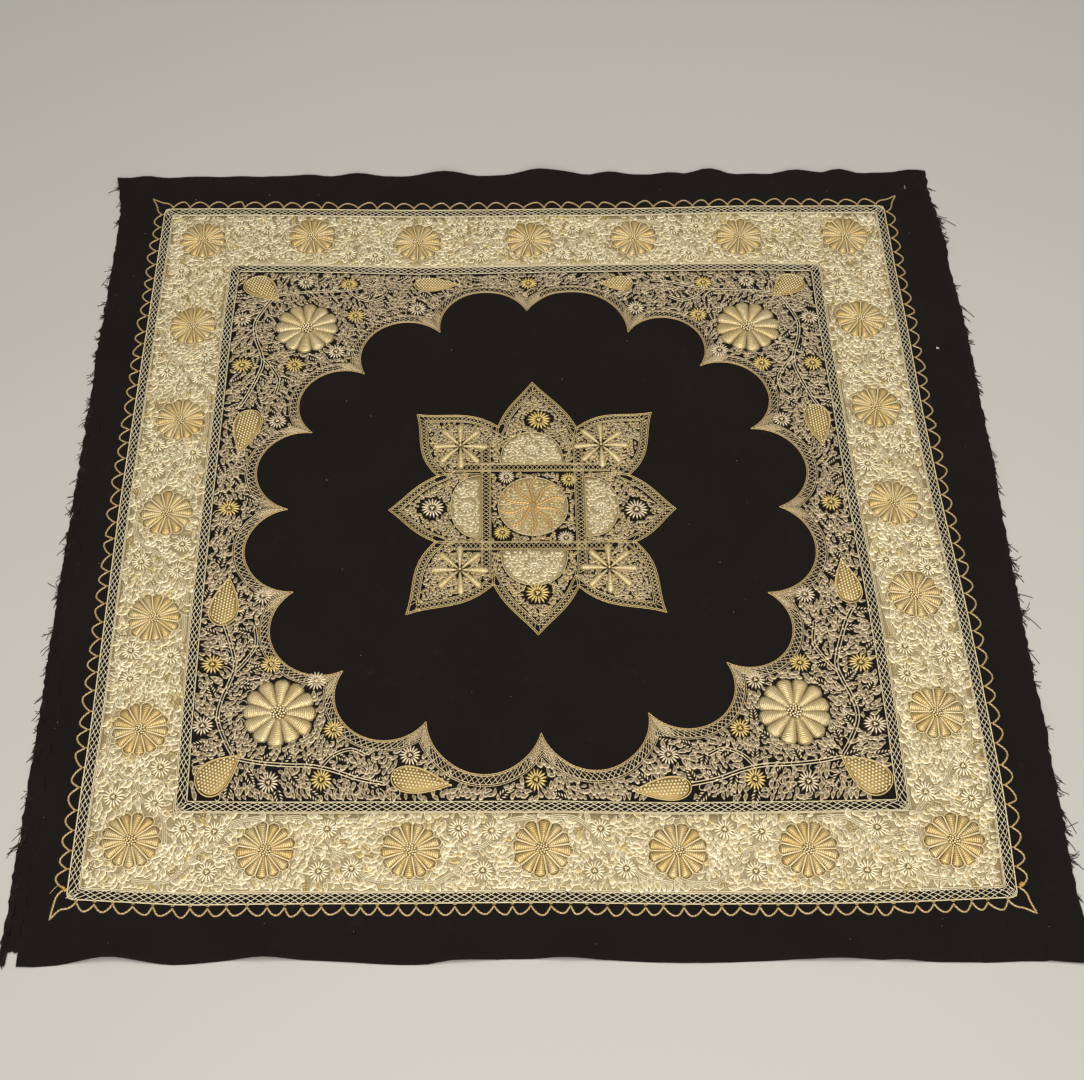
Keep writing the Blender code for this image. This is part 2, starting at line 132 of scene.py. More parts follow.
class Plan:
    """The nodes of one material, light or modifier."""

    def __init__(self, tree):
        self.tree = tree
        tree.nodes.clear()

    def add(self, kind, settings=None, *values, **named):
        """A node of this kind: settings first, then its inputs in order or by name, with _ for a space."""
        node = self.tree.nodes.new(kind)
        for name, value in (settings or {}).items():
            if name == "stops":
                ramp = node.color_ramp.elements
                while len(ramp) < len(value):
                    ramp.new(0.5)
                for stop, (place, colour) in zip(ramp, value):
                    stop.position = place
                    stop.color = (*colour, 1)
            else:
                setattr(node, name, value)
        sockets = [s for s in node.inputs if s.enabled]
        pairs = list(zip(sockets, values))
        for name, value in named.items():
            pairs.append((next(s for s in sockets if s.name == name.replace("_", " ")), value))
        for socket, value in pairs:
            if isinstance(value, Wire):
                self.tree.links.new(value.socket, socket)
            elif isinstance(value, tuple) and len(value) == 3 and socket.type == "RGBA":
                socket.default_value = (*value, 1)
            else:
                socket.default_value = value
        shown = [s for s in node.outputs if s.enabled]
        return Wire(self, shown[0]) if shown else None

    def mix(self, share, first, second):
        """A colour between two."""
        return self.add("ShaderNodeMix", {"data_type": "RGBA"}, share, first, second)

    def noise(self, place, scale, detail=2.0, roughness=0.5):
        """Soft random variation from 0 to 1, this many waves to the metre."""
        return self.add("ShaderNodeTexNoise", None, Vector=place, Scale=scale, Detail=detail, Roughness=roughness)

    def finish(self, surface):
        self.add("ShaderNodeOutputMaterial", None, Surface=surface)


def new_finish(name):
    made = bpy.data.materials.new(name)
    made.use_nodes = True
    return made, Plan(made.node_tree)


FLOOR_SIZE = 14.0
FLOOR_COLOUR = (0.435, 0.423, 0.388)
floor_mesh = bpy.data.meshes.new("floor")
half = FLOOR_SIZE / 2
floor_mesh.from_pydata([(-half, -half, 0), (half, -half, 0), (half, half, 0), (-half, half, 0)], [], [(0, 1, 2, 3)])
floor = bpy.data.objects.new("floor", floor_mesh)
bpy.context.collection.objects.link(floor)
floor_finish, plan = new_finish("pale_floor")
place = plan.add("ShaderNodeTexCoord")["Object"]
soft = plan.noise(place, 1.2, 2.0)
plan.finish(plan.add("ShaderNodeBsdfPrincipled", None,
                     Base_Color=plan.mix(soft, FLOOR_COLOUR, tuple(c * 0.96 for c in FLOOR_COLOUR)),
                     Roughness=0.6, Specular_IOR_Level=0.3))
floor_mesh.materials.append(floor_finish)

Lamp = namedtuple("Lamp", "name place aim size power colour")
LAMPS = (Lamp("front_softbox", (-0.35, -2.6, 2.3), (0, 0, 0), 1.5, 64, (1.0, 0.975, 0.92)),
         Lamp("high_softbox", (0.4, -0.3, 3.2), (0, 0, 0), 1.6, 80, (1.0, 0.98, 0.94)))
for lamp in LAMPS:
    light = bpy.data.lights.new(lamp.name, "AREA")
    light.shape = "SQUARE"
    light.size = lamp.size
    light.energy = lamp.power
    light.color = lamp.colour
    hung = bpy.data.objects.new(lamp.name, light)
    bpy.context.collection.objects.link(hung)
    hung.location = lamp.place
    hung.rotation_euler = (Vector(lamp.aim) - Vector(lamp.place)).to_track_quat("-Z", "Y").to_euler()

ROOM_LIGHT, ROOM_SHADE = 0.54, 0.13
world = bpy.data.worlds.new("room")
bpy.context.scene.world = world
world.use_nodes = True
plan = Plan(world.node_tree)
way = plan.add("ShaderNodeSeparateXYZ", None, plan.add("ShaderNodeTexCoord")["Generated"])
strength = plan.add("ShaderNodeMapRange", None, way["Y"], -0.8, 0.7, ROOM_LIGHT, ROOM_SHADE)
plan.add("ShaderNodeOutputWorld", None,
         Surface=plan.add("ShaderNodeBackground", None, Color=(0.96, 0.98, 1.0), Strength=strength))
bpy.context.scene.view_settings.view_transform = "Standard"


# ---------- Ground cloth ----------
# One piece of black fulled wool, 1.3 mm thick, cut clean at the front and back and torn at the two sides. It
# lies flat under the stitching, and its loose margin lifts in ripples. Old folds cross it as soft creases.
FRONT_EDGE = ((-0.560, -0.5715), (-0.512, -0.5715), (-0.445, -0.5640), (-0.378, -0.5700),
              (-0.286, -0.5640), (-0.140, -0.5705), (-0.085, -0.5665), (0.024, -0.5645),
              (0.150, -0.5690), (0.300, -0.5655), (0.430, -0.5690), (0.516, -0.5680), (0.562, -0.5715))
RIGHT_EDGE = ((0.562, -0.5715), (0.5630, -0.500), (0.5658, -0.390), (0.5668, -0.250), (0.5718, 0.003),
              (0.5768, 0.248), (0.5735, 0.380), (0.5722, 0.463), (0.5683, 0.509), (0.5670, 0.566))
BACK_EDGE = ((-0.573, 0.555), (-0.520, 0.5605), (-0.400, 0.5625), (-0.180, 0.5610), (-0.050, 0.5615),
             (0.170, 0.5625), (0.310, 0.563), (0.470, 0.563), (0.567, 0.566))
LEFT_EDGE = ((-0.560, -0.5715), (-0.5600, -0.530), (-0.5590, -0.420), (-0.5605, -0.250), (-0.5615, 0.000),
             (-0.562, 0.180), (-0.562, 0.470), (-0.5665, 0.520), (-0.573, 0.555))
FLAT_HALF = 0.524
CLOTH_THICK = 0.0013

# Place along the edge, half width and lift of each ripple.
BACK_RIPPLES = ((-0.531, 0.028, 0.004), (-0.309, 0.036, 0.004), (-0.236, 0.042, 0.007), (-0.114, 0.060, 0.010),
                (0.028, 0.070, 0.013), (0.119, 0.036, 0.007), (0.207, 0.034, 0.005), (0.261, 0.040, 0.011),
                (0.387, 0.046, 0.008), (0.445, 0.034, 0.009), (0.545, 0.034, 0.005))
FRONT_RIPPLES = ((-0.445, 0.056, 0.010), (-0.286, 0.050, 0.009), (-0.082, 0.044, 0.006), (0.027, 0.046, 0.007),
                 (0.301, 0.060, 0.007), (0.368, 0.040, 0.005))
LEFT_RIPPLES = ((0.552, 0.050, 0.006), (0.260, 0.070, 0.003), (-0.120, 0.080, 0.003))
RIGHT_RIPPLES = ((-0.545, 0.060, 0.006), (-0.300, 0.060, 0.005), (0.060, 0.090, 0.004), (0.430, 0.050, 0.004))

# Start, end, half width and height of each crease: a ridge stands up and a trough goes down.
CREASES = (((0.033, 0.560), (0.034, 0.196), 0.020, 0.0011), ((0.006, -0.209), (0.030, -0.560), 0.022, 0.0011),
           ((-0.280, 0.045), (-0.143, 0.046), 0.018, 0.0012), ((-0.259, 0.090), (-0.252, -0.060), 0.022, 0.0010),
           ((-0.281, -0.077), (-0.059, -0.280), 0.024, 0.0012), ((-0.172, -0.135), (-0.043, -0.263), 0.022, -0.0008),
           ((0.054, -0.164), (0.122, -0.237), 0.020, 0.0009), ((0.195, 0.172), (0.210, 0.085), 0.020, 0.0009),
           ((-0.560, 0.240), (-0.400, 0.236), 0.016, 0.0009), ((0.400, -0.232), (0.566, -0.240), 0.016, 0.0008))
LIE = 0.0003
PLEAT_X, PLEAT_END, PLEAT_HEIGHT = 0.5180, -0.543, 0.0030

# The stitched bands lie a little out of square. For each side: how many mm the border's inner edge and the
# frame's outer cord lie further out than a true square, at these places along the side.
PULL_PLACES = (-0.500, -0.375, -0.300, -0.150, 0, 0.150, 0.300, 0.375, 0.500)
PULLS = (((4, 5, 6, 6, 5.5, 8, 6.5, 5, 4), (0, 7, 6, 5.5, 4.5, 7, 6.5, 5, 0)),
         ((4, 5.5, 7.5, 7, 3, 2, 0, 1, 0), (0.5, 7, 7, 6, 1, -1, 0.5, -0.5, 0)),
         ((-4, -5, -2.5, -4, -6.5, -8.5, -3, -2, 0), (0, 0, 1, -3.5, -4, -5, -2, 0, 0)),
         ((3, 3.5, 5.5, 5.5, 6, 5, 2, -1, -1), (0.5, 1.5, 2, 3, 4, 2, 0, 0.5, 0)))


def smooth_line(points, steps, closed=False):
    """Points on one smooth curve through these, with this many steps between each two."""
    points = np.asarray(points, float)
    count = len(points)
    shares = np.arange(steps)[:, None] / steps
    line = []
    for i in range(count if closed else count - 1):
        if closed:
            a, b, c, d = (points[(i + k) % count] for k in (-1, 0, 1, 2))
        else:
            a, b, c, d = (points[min(max(i + k, 0), count - 1)] for k in (-1, 0, 1, 2))
        line.append(0.5 * (2 * b + (c - a) * shares + (2 * a - 5 * b + 4 * c - d) * shares ** 2
                           + (3 * b - a - 3 * c + d) * shares ** 3))
    if not closed:
        line.append(points[-1:])
    return np.concatenate(line)


def lift_at(ripples, along):
    """How high the edge's ripples lift it at these places along it."""
    lifts = np.zeros_like(along)
    for at, half_width, lift in ripples:
        near = np.clip(np.abs(along - at) / half_width, 0, 1)
        lifts = np.maximum(lifts, lift * np.cos(math.pi / 2 * near) ** 2)
    return lifts


front_line, right_line = smooth_line(FRONT_EDGE, 8), smooth_line(RIGHT_EDGE, 8)
back_line, left_line = smooth_line(BACK_EDGE, 8), smooth_line(LEFT_EDGE, 8)


def ground(x, y):
    """Height of the cloth's underside: slack between stitches, creases, and the ripples of the margin."""
    x, y = np.asarray(x, float), np.asarray(y, float)
    slack = (np.sin(23 * x + 1.3 * np.sin(9 * y)) + np.sin(31 * y + 1.1 * np.sin(13 * x + 2)) + 2) / 4
    z = LIE * slack
    for (x0, y0), (x1, y1), half_width, height in CREASES:
        length = math.hypot(x1 - x0, y1 - y0)
        ux, uy = (x1 - x0) / length, (y1 - y0) / length
        along = (x - x0) * ux + (y - y0) * uy
        across = (x - x0) * -uy + (y - y0) * ux + 0.002 * np.sin(along * 60)
        ends = np.clip(np.minimum(along, length - along) / 0.03 + 0.5, 0, 1)
        z = z + height * ends * np.cos(math.pi / 2 * np.clip(np.abs(across) / half_width, 0, 1)) ** 2
    past = x - PLEAT_X
    z = z + (PLEAT_HEIGHT * np.clip(past / 0.0008 + 0.5, 0, 1) * np.clip(1 - past / 0.030, 0, 1)
             * np.clip((PLEAT_END - y) / 0.012, 0, 1))
    for line, ripples, axis in ((front_line, FRONT_RIPPLES, 0), (back_line, BACK_RIPPLES, 0),
                                (left_line, LEFT_RIPPLES, 1), (right_line, RIGHT_RIPPLES, 1)):
        along, out = (x, y) if axis == 0 else (y, x)
        edge = np.interp(along, line[:, axis], line[:, 1 - axis])
        share = np.clip((np.abs(out) - FLAT_HALF) / (np.abs(edge) - FLAT_HALF), 0, 1.1)
        share = np.where(np.sign(out) == np.sign(edge), share, 0)
        wave = 0.0007 * (1 + np.sin(along * 88 + axis + 2 * np.sin(along * 17)))
        z = z + lift_at(ripples, along) * share ** 2 + wave * share
    return np.maximum(z, 0)


def finished(name, mesh, finish, slot, *nodes):
    """A piece at rest in the frame, with its finish, that rides on the panel and stands for these nodes."""
    mesh.name = name
    mesh.materials.clear()
    mesh.materials.append(finish)
    made = bpy.data.objects.new(name, mesh)
    bpy.context.collection.objects.link(made)
    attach(made, "root")
    if nodes:
        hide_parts(*nodes)
    return made


def drawn(x, y):
    """Where the bands' pull has drawn these places."""
    moved = np.column_stack([x, y]).astype(float)
    for quarter, (inner, outer) in enumerate(PULLS):
        along, out = ((x, -y), (y, x), (-x, y), (-y, -x))[quarter]
        share = np.clip((out - 0.397) / 0.1025, 0, 1)
        pull = np.interp(along, PULL_PLACES, inner) * (1 - share) + np.interp(along, PULL_PLACES, outer) * share
        pull *= np.interp(out, (0.340, 0.384, 0.512, 0.548), (0, 1, 1, 0)) / 1000
        moved += pull[:, None] * ((0, -1), (1, 0), (0, 1), (-1, 0))[quarter]
    return moved


def laid(mesh, above=CLOTH_THICK):
    """Moves a mesh made about the panel's middle, with z = 0 at the cloth's face, to where the cloth lies."""
    places = np.empty(len(mesh.vertices) * 3, np.float32)
    mesh.vertices.foreach_get("co", places)
    places = places.reshape(-1, 3)
    places[:, :2] = drawn(places[:, 0], places[:, 1])
    places[:, 2] += above + ground(places[:, 0], places[:, 1])
    places[:, :2] += MIDDLE
    mesh.vertices.foreach_set("co", places.ravel())
    mesh.update()


CLOTH_COLUMN, CLOTH_ROW = 0.0120, 0.0058
NOTCH = (-0.5522, -0.5417, -0.5570)
# Middle, reach and number of arms of each hole; a round hole has none.
HOLES = (((0.5348, 0.5365), 0.0048, 4), ((0.5347, 0.2447), 0.0026, 0))
rng = np.random.default_rng(11)
columns = np.linspace(-0.560, 0.562, round(1.122 / CLOTH_COLUMN) + 1)
notch_columns = [NOTCH[0] - 0.0006, NOTCH[0], NOTCH[0] + 0.003, -0.547, NOTCH[1] - 0.003, NOTCH[1], NOTCH[1] + 0.0006,
                 PLEAT_X - 0.0004, PLEAT_X + 0.0004]
columns = np.sort(np.append(columns[(columns < NOTCH[0] - 0.003) | (columns > NOTCH[1] + 0.003)], notch_columns))
u = (columns - columns[0]) / (columns[-1] - columns[0])
v = np.linspace(0, 1, round(1.13 / CLOTH_ROW) + 1)


def cut_side(line, axis, shares, ragged):
    """Points of one edge at these shares of its length, torn by this much."""
    along = line[0, axis] + (line[-1, axis] - line[0, axis]) * shares
    out = np.interp(along, line[:, axis], line[:, 1 - axis])
    torn = rng.normal(0, ragged, len(shares))
    torn[[0, -1]] = 0
    pair = (along, out + torn) if axis == 0 else (out + torn, along)
    return np.stack(pair, 1)


bottom, top = cut_side(front_line, 0, u, 0.0001), cut_side(back_line, 0, u, 0.0001)
left, right = cut_side(left_line, 1, v, 0.0007), cut_side(right_line, 1, v, 0.0007)
inside_notch = (bottom[:, 0] > NOTCH[0] - 0.0001) & (bottom[:, 0] < NOTCH[1] + 0.0001)
bottom[inside_notch, 1] = NOTCH[2] + rng.normal(0, 0.0008, inside_notch.sum())
U, V = u[None, :, None], v[:, None, None]
sheet = ((1 - V) * bottom[None] + V * top[None] + (1 - U) * left[:, None] + U * right[:, None]
         - (1 - U) * (1 - V) * bottom[0] - U * (1 - V) * bottom[-1] - (1 - U) * V * top[0] - U * V * top[-1])
rows, across = len(v), len(u)
vertices = sheet.reshape(-1, 2)
faces = {}
for j in range(rows - 1):
    for i in range(across - 1):
        a = j * across + i
        faces[i, j] = (a, a + 1, a + across + 1, a + across)
extra = []
for middle, reach, arms in HOLES:
    i = int(np.searchsorted(u, (middle[0] - columns[0]) / (columns[-1] - columns[0]))) - 1
    j = int(np.argmin(np.abs(sheet[:, i, 1] - middle[1])))
    i0, i1, j0, j1 = i - 1, i + 2, j - 2, j + 3
    for cell in [(ci, cj) for ci in range(i0, i1) for cj in range(j0, j1)]:
        del faces[cell]
    ring = ([(ci, j0) for ci in range(i0, i1)] + [(i1, cj) for cj in range(j0, j1)]
            + [(ci, j1) for ci in range(i1, i0, -1)] + [(i0, cj) for cj in range(j1, j0, -1)])
    ring = [cj * across + ci for ci, cj in ring]
    first = len(vertices) + len(extra)
    offset = np.arctan2(*(vertices[ring[0]] - middle)[::-1])
    for k, corner in enumerate(ring):
        angle = offset + 2 * math.pi * k / len(ring)
        radius = reach * (0.55 + 0.45 * math.cos(arms * angle)) if arms else reach * rng.uniform(0.85, 1.1)
        extra.append((middle[0] + radius * math.cos(angle), middle[1] + radius * math.sin(angle)))
        after = (k + 1) % len(ring)
        faces[f"hole{first}", k] = (corner, ring[after], first + after, first + k)
vertices = np.concatenate([vertices, np.array(extra)])
cloth_mesh = bpy.data.meshes.new("ground_cloth")
cloth_mesh.from_pydata(np.column_stack([vertices, np.zeros(len(vertices))]).tolist(), [], list(faces.values()))
laid(cloth_mesh)
cloth_mesh.shade_smooth()

wool, plan = new_finish("fulled_black_wool")
place = plan.add("ShaderNodeTexCoord")["Object"]
worn = plan.noise(place, 9, 3.0, 0.6)
nap = plan.noise(place, 420, 3.0, 0.7)
fibre = plan.noise(place, 1500, 2.0, 0.6)
weave = plan.add("ShaderNodeTexWave", {"bands_direction": "DIAGONAL"}, Vector=place, Scale=520, Distortion=2.0)
dust = plan.add("ShaderNodeValToRGB", {"stops": ((0.62, (0, 0, 0)), (0.80, (1, 1, 1)))}, plan.noise(place, 28, 4.0, 0.7))
speck = plan.add("ShaderNodeValToRGB", {"stops": ((0.74, (0, 0, 0)), (0.80, (1, 1, 1)))}, plan.noise(place, 900, 1.0))
black = plan.mix(worn, (0.0052, 0.0040, 0.0034), (0.0092, 0.0072, 0.0060))
black = plan.mix(dust * nap * 0.5, black, (0.034, 0.028, 0.023))
black = plan.mix(speck * 0.20, black, (0.05, 0.043, 0.036))
relief = nap * 0.6 + fibre * 0.3 + weave * 0.15
bump = plan.add("ShaderNodeBump", None, Strength=0.55, Distance=0.0006, Height=relief)
plan.finish(plan.add("ShaderNodeBsdfPrincipled", None, Base_Color=black, Roughness=0.92 + worn * 0.06,
                     Normal=bump, Specular_IOR_Level=0.10, Sheen_Weight=0.03, Sheen_Roughness=0.5,
                     Sheen_Tint=(0.85, 0.68, 0.55)))

cloth = finished("wool_cloth", cloth_mesh, wool, "black_wool", "ground_cloth")
thickness = cloth.modifiers.new("cloth_thickness", "SOLIDIFY")
thickness.thickness = CLOTH_THICK
thickness.offset = -1
thickness.use_even_offset = False


# ---------- Frayed edges, lint and loose threads ----------
# Wool fibres pulled out of the two torn sides, a few hairs and lint caught in the nap, and the loose threads
# at the corners. Each is a fine fibre that lies on the cloth or the floor.
def lines_mesh(name, lines):
    """A mesh of edges from lines, each (points, thickness, gold share, closed)."""
    made = bpy.data.meshes.new(name)
    points, edges, thick, gold = [], [], [], []
    for line, width, share, closed in lines:
        first = len(points)
        points.extend(np.asarray(line, float).tolist())
        count = len(line)
        edges.extend((first + i, first + i + 1) for i in range(count - 1))
        if closed:
            edges.append((first + count - 1, first))
        thick.extend([width] * count)
        gold.extend([share] * count)
    made.from_pydata(points, edges, [])
    for label, values in (("thick", thick), ("gold", gold)):
        made.attributes.new(label, "FLOAT", "POINT").data.foreach_set("value", values)
    return made


def new_tree(name, *inputs):
    """An empty Geometry Nodes tree with these named inputs, its node plan and its group input."""
    tree = bpy.data.node_groups.new(name, "GeometryNodeTree")
    plan = Plan(tree)
    for label, kind in inputs:
        tree.interface.new_socket(label, in_out="INPUT", socket_type="NodeSocket" + kind)
    tree.interface.new_socket("Piece", in_out="OUTPUT", socket_type="NodeSocketGeometry")
    return tree, plan, plan.add("NodeGroupInput")


def grown(mesh, tree, **inputs):
    """The plain mesh that this tree makes from this mesh."""
    holder = bpy.data.objects.new(mesh.name, mesh)
    bpy.context.collection.objects.link(holder)
    modifier = holder.modifiers.new("made", "NODES")
    modifier.node_group = tree
    for item in tree.interface.items_tree:
        if item.in_out == "INPUT" and item.name in inputs:
            modifier[item.identifier] = inputs[item.name]
    seen = bpy.context.evaluated_depsgraph_get()
    made = bpy.data.meshes.new_from_object(holder.evaluated_get(seen), preserve_all_data_layers=True, depsgraph=seen)
    bpy.data.objects.remove(holder, do_unlink=True)
    made.shade_smooth()
    return made


cord_tree, plan, given = new_tree("couched_cord", ("Lines", "Geometry"), ("Sides", "Int"), ("Flatness", "Float"),
                                  ("Finish", "Material"))
run = plan.add("GeometryNodeMeshToCurve", None, Mesh=given["Lines"])
run = plan.add("GeometryNodeSetCurveNormal", {"mode": "Z_UP"}, Curve=run)
measured = plan.add("GeometryNodeSplineParameter")
run = plan.add("GeometryNodeStoreNamedAttribute", {"data_type": "FLOAT"}, Geometry=run, Name="along",
               Value=measured["Length"])
width_here = plan.add("GeometryNodeInputNamedAttribute", {"data_type": "FLOAT"}, Name="thick")["Attribute"]
run = plan.add("GeometryNodeSetCurveRadius", None, Curve=run, Radius=width_here)
section = plan.add("GeometryNodeCurvePrimitiveCircle", None, Resolution=given["Sides"], Radius=0.5)
section = plan.add("GeometryNodeStoreNamedAttribute", {"data_type": "FLOAT"}, Geometry=section, Name="round",
                   Value=measured["Factor"])
flat = plan.add("ShaderNodeCombineXYZ", None, X=1.0, Y=given["Flatness"], Z=1.0)
section = plan.add("GeometryNodeTransform", None, Geometry=section, Scale=flat)
tube = plan.add("GeometryNodeCurveToMesh", None, Curve=run, Profile_Curve=section, Scale=width_here, Fill_Caps=True)
tube = plan.add("GeometryNodeRealizeInstances", None, Geometry=tube)
plan.add("NodeGroupOutput", None, plan.add("GeometryNodeSetMaterial", None, Geometry=tube, Material=given["Finish"]))


def couched(name, lines, finish, slot, *nodes, sides=6, flatness=0.75):
    """Cords laid along these lines on the cloth, as one piece."""
    mesh = grown(lines_mesh(name, lines), cord_tree, Sides=sides, Flatness=flatness, Finish=finish)
    laid(mesh)
    return finished(name, mesh, finish, slot, *nodes)


HAIR_WIDTH = 0.0008
TUFTS_A_SIDE, HAIRS_A_TUFT = 75, 4
fuzz, plan = new_finish("loose_wool_fibre")
place = plan.add("ShaderNodeTexCoord")["Object"]
plan.finish(plan.add("ShaderNodeBsdfPrincipled", None,
                     Base_Color=plan.mix(plan.noise(place, 60), (0.010, 0.008, 0.007), (0.035, 0.028, 0.024)),
                     Roughness=0.9, Specular_IOR_Level=0.2))
rng = np.random.default_rng(23)
hairs = []
for line, outward in ((left_line, -1), (right_line, 1)):
    tufts = np.repeat(rng.uniform(-0.560, 0.547, TUFTS_A_SIDE), HAIRS_A_TUFT)
    leans = np.repeat(rng.normal(-0.8, 0.5, TUFTS_A_SIDE), HAIRS_A_TUFT)
    for at, lean in zip(tufts + rng.normal(0, 0.0022, len(tufts)), leans + rng.normal(0, 0.30, len(tufts))):
        edge = np.interp(at, line[:, 1], line[:, 0])
        reach = rng.gamma(2.0, 0.0026) + 0.0015
        steps = np.linspace(0, 1, 5)
        bend = rng.normal(0, 0.35)
        x = edge - outward * 0.001 + outward * reach * steps * math.cos(lean * 0.8)
        y = at + reach * (steps * math.sin(lean) + bend * steps ** 2)
        drop = -(CLOTH_THICK * 0.5 + ground(x, y) * steps ** 0.5 + 0.0002 * steps)
        hairs.append((np.column_stack([x, y, drop]), HAIR_WIDTH, 0, False))
frayed = couched("frayed_edges", hairs, fuzz, "black_wool", sides=3, flatness=1.0)

# Loose threads: points on the way, thickness.
LOOSE = ((((-0.5533, -0.5560, 0), (-0.5545, -0.5640, 0), (-0.5552, -0.5735, -0.0007)), 0.0011),
         (((-0.5546, -0.5600, 0), (-0.5570, -0.5680, 0), (-0.5548, -0.5745, -0.0008)), 0.0008),
         (((0.5610, -0.4970, 0), (0.5650, -0.4985, 0.001), (0.5635, -0.5015, 0), (0.5600, -0.5005, 0)), 0.0006),
         (((0.5560, -0.5650, 0), (0.5640, -0.5700, 0.0005), (0.5700, -0.5690, -0.0006), (0.5660, -0.5760, -0.0007)), 0.0007))
threads = [(smooth_line(line, 5), width, 0, False) for line, width in LOOSE]
corner_threads = couched("loose_corner_threads", threads, fuzz, "black_wool", sides=4, flatness=1.0)

lint_finish, plan = new_finish("grey_lint")
place = plan.add("ShaderNodeTexCoord")["Object"]
plan.finish(plan.add("ShaderNodeBsdfPrincipled", None,
                     Base_Color=plan.mix(plan.noise(place, 40), (0.28, 0.25, 0.21), (0.75, 0.70, 0.62)), Roughness=0.9))
rng = np.random.default_rng(31)
lint = []
for number in range(150):
    x, y = rng.uniform(-0.55, 0.55, 2)
    if max(abs(x), abs(y)) < 0.505 and math.hypot(x, y) > 0.29:
        continue
    if abs(x) < 0.19 and abs(y) < 0.19:
        continue
    reach = rng.choice((0.0005, 0.0007, 0.0012, 0.004), p=(0.4, 0.35, 0.17, 0.08))
    heading, curl = rng.uniform(0, 2 * math.pi), rng.normal(0, 1.5)
    steps = np.linspace(0, 1, 4)
    angle = heading + curl * steps
    way = np.column_stack([x + reach * steps * np.cos(angle), y + reach * steps * np.sin(angle), steps * 0 + 0.0002])
    lint.append((way, 0.00045 if reach < 0.002 else 0.00022, 0, False))
caught_lint = couched("caught_lint", lint, lint_finish, "black_wool", sides=3, flatness=1.0)


# ---------- Picot cord ----------
# One copper-gold cord of two twisted strands, couched in shallow loops round the outside, each foot held
# against the lattice frame by a small orange-gold knot, with a pointed loop at each corner.
PICOTS = (49, 41, 38, 42)
PICOT_START, PICOT_FOOT, PICOT_HEAD = 0.4885, 0.5020, 0.5127
CORNER_TIPS = ((0.5165, -0.5175), (0.5190, -0.5190), (0.5190, -0.5190), (0.5224, -0.5140))
CORD_WIDTH = 0.0023


def twisted(name, pale, deep, lay=0.0042, roughness=0.42, metallic=0.55, groove_shade=0.22):
    """The finish of a twisted cord: strands wind round it, once in this length, with painted shade in the grooves
    between them.
    """
    made, plan = new_finish(name)
    place = plan.add("ShaderNodeTexCoord")["Object"]
    along = plan.add("ShaderNodeAttribute", {"attribute_name": "along"})["Fac"]
    about = plan.add("ShaderNodeAttribute", {"attribute_name": "round"})["Fac"]
    gold = plan.add("ShaderNodeAttribute", {"attribute_name": "gold"})["Fac"]
    strand = plan.add("ShaderNodeMath", {"operation": "SINE"}, (along / lay + about) * (4 * math.pi)) * 0.5 + 0.5
    tarnish = plan.noise(place, 55, 3.0, 0.6)
    glint = plan.noise(place, 900, 2.0)
    colour = plan.mix(gold, pale, deep)
    colour = plan.mix(tarnish * tarnish * 0.7, colour, tuple(c * s for c, s in zip(deep, (0.75, 0.62, 0.50))))
    # Painted shade: the grooves between the strands are darkened.
    colour = plan.mix((1 - strand) * groove_shade, colour, (0.12, 0.07, 0.025))
    bump = plan.add("ShaderNodeBump", None, Strength=0.6, Distance=0.0004, Height=strand * 0.7 + glint * 0.3)
    plan.finish(plan.add("ShaderNodeBsdfPrincipled", None, Base_Color=colour, Metallic=metallic,
                         Roughness=glint * 0.2 + (roughness - 0.1), Normal=bump))
    return made


rng = np.random.default_rng(5)


def turn_about(points, quarter):
    """These points turned by quarter turns about the panel's middle."""
    points = np.array(points, float)
    for _ in range(quarter):
        points[:, :2] = np.column_stack([-points[:, 1], points[:, 0]])
    return points


picots, feet = [], []
for quarter, count in enumerate(PICOTS):
    starts = np.linspace(-PICOT_START, PICOT_START, count + 1)
    starts[1:-1] += rng.normal(0, 0.0012, count - 1)
    slack = rng.uniform(0.0002, 0.0020, count + 1) * (1.0 if quarter == 0 else 0.5)
    way = []
    for start, end, slip, next_slip in zip(starts, starts[1:], slack, slack[1:]):
        depth = PICOT_HEAD - PICOT_FOOT + rng.normal(0, 0.0008)
        skew = rng.normal(0, 0.07)
        for share in (0, 0.05, 0.13, 0.25, 0.41, 0.59, 0.75, 0.87, 0.95):
            swing = ((1 - math.cos(2 * math.pi * share)) / 2) ** 0.46
            x = start + (end - start) * (share + skew * math.sin(math.pi * share) ** 2)
            rest = slip * (1 - share) + next_slip * share
            way.append((x, -PICOT_FOOT - rest - (depth - rest) * swing, 0.0008))
    tip = CORNER_TIPS[quarter]
    for line in (((PICOT_START, -PICOT_FOOT), (0.4915, -0.5062), (0.4970, -0.5100), (0.5050, -0.5118), tip),
                 (tip, (0.5118, -0.5050), (0.5100, -0.4970), (0.5062, -0.4915), (PICOT_FOOT, -PICOT_START))):
        way += [(x, y, 0.0008) for x, y in smooth_line(line, 3)[:-1]]
    picots.append(turn_about(way, quarter))
    feet.append(turn_about([(start, -PICOT_FOOT + 0.0008, 0.0012) for start in starts], quarter))
copper_cord = twisted("copper_gold_cord", (0.62, 0.47, 0.26), (0.62, 0.36, 0.06), lay=0.0080, metallic=0.30, groove_shade=0.70)
loose_end = ((-0.5085, -0.4830, 0.0012), (-0.5135, -0.4880, 0.0014), (-0.5175, -0.4935, 0.0008))
picot_lines = [(np.concatenate(picots), CORD_WIDTH, 0.15, True), (loose_end, 0.0007, 0.0, False)]
for x, y in ((-0.5045, -0.4868), (-0.5025, -0.4895), (0.5048, -0.4860), (0.5065, -0.4845)):
    picot_lines.append((((x - 0.0016, y + 0.0012, 0.0012), (x, y, 0.0020), (x + 0.0016, y - 0.0012, 0.0012)), 0.0034, 1.4, False))
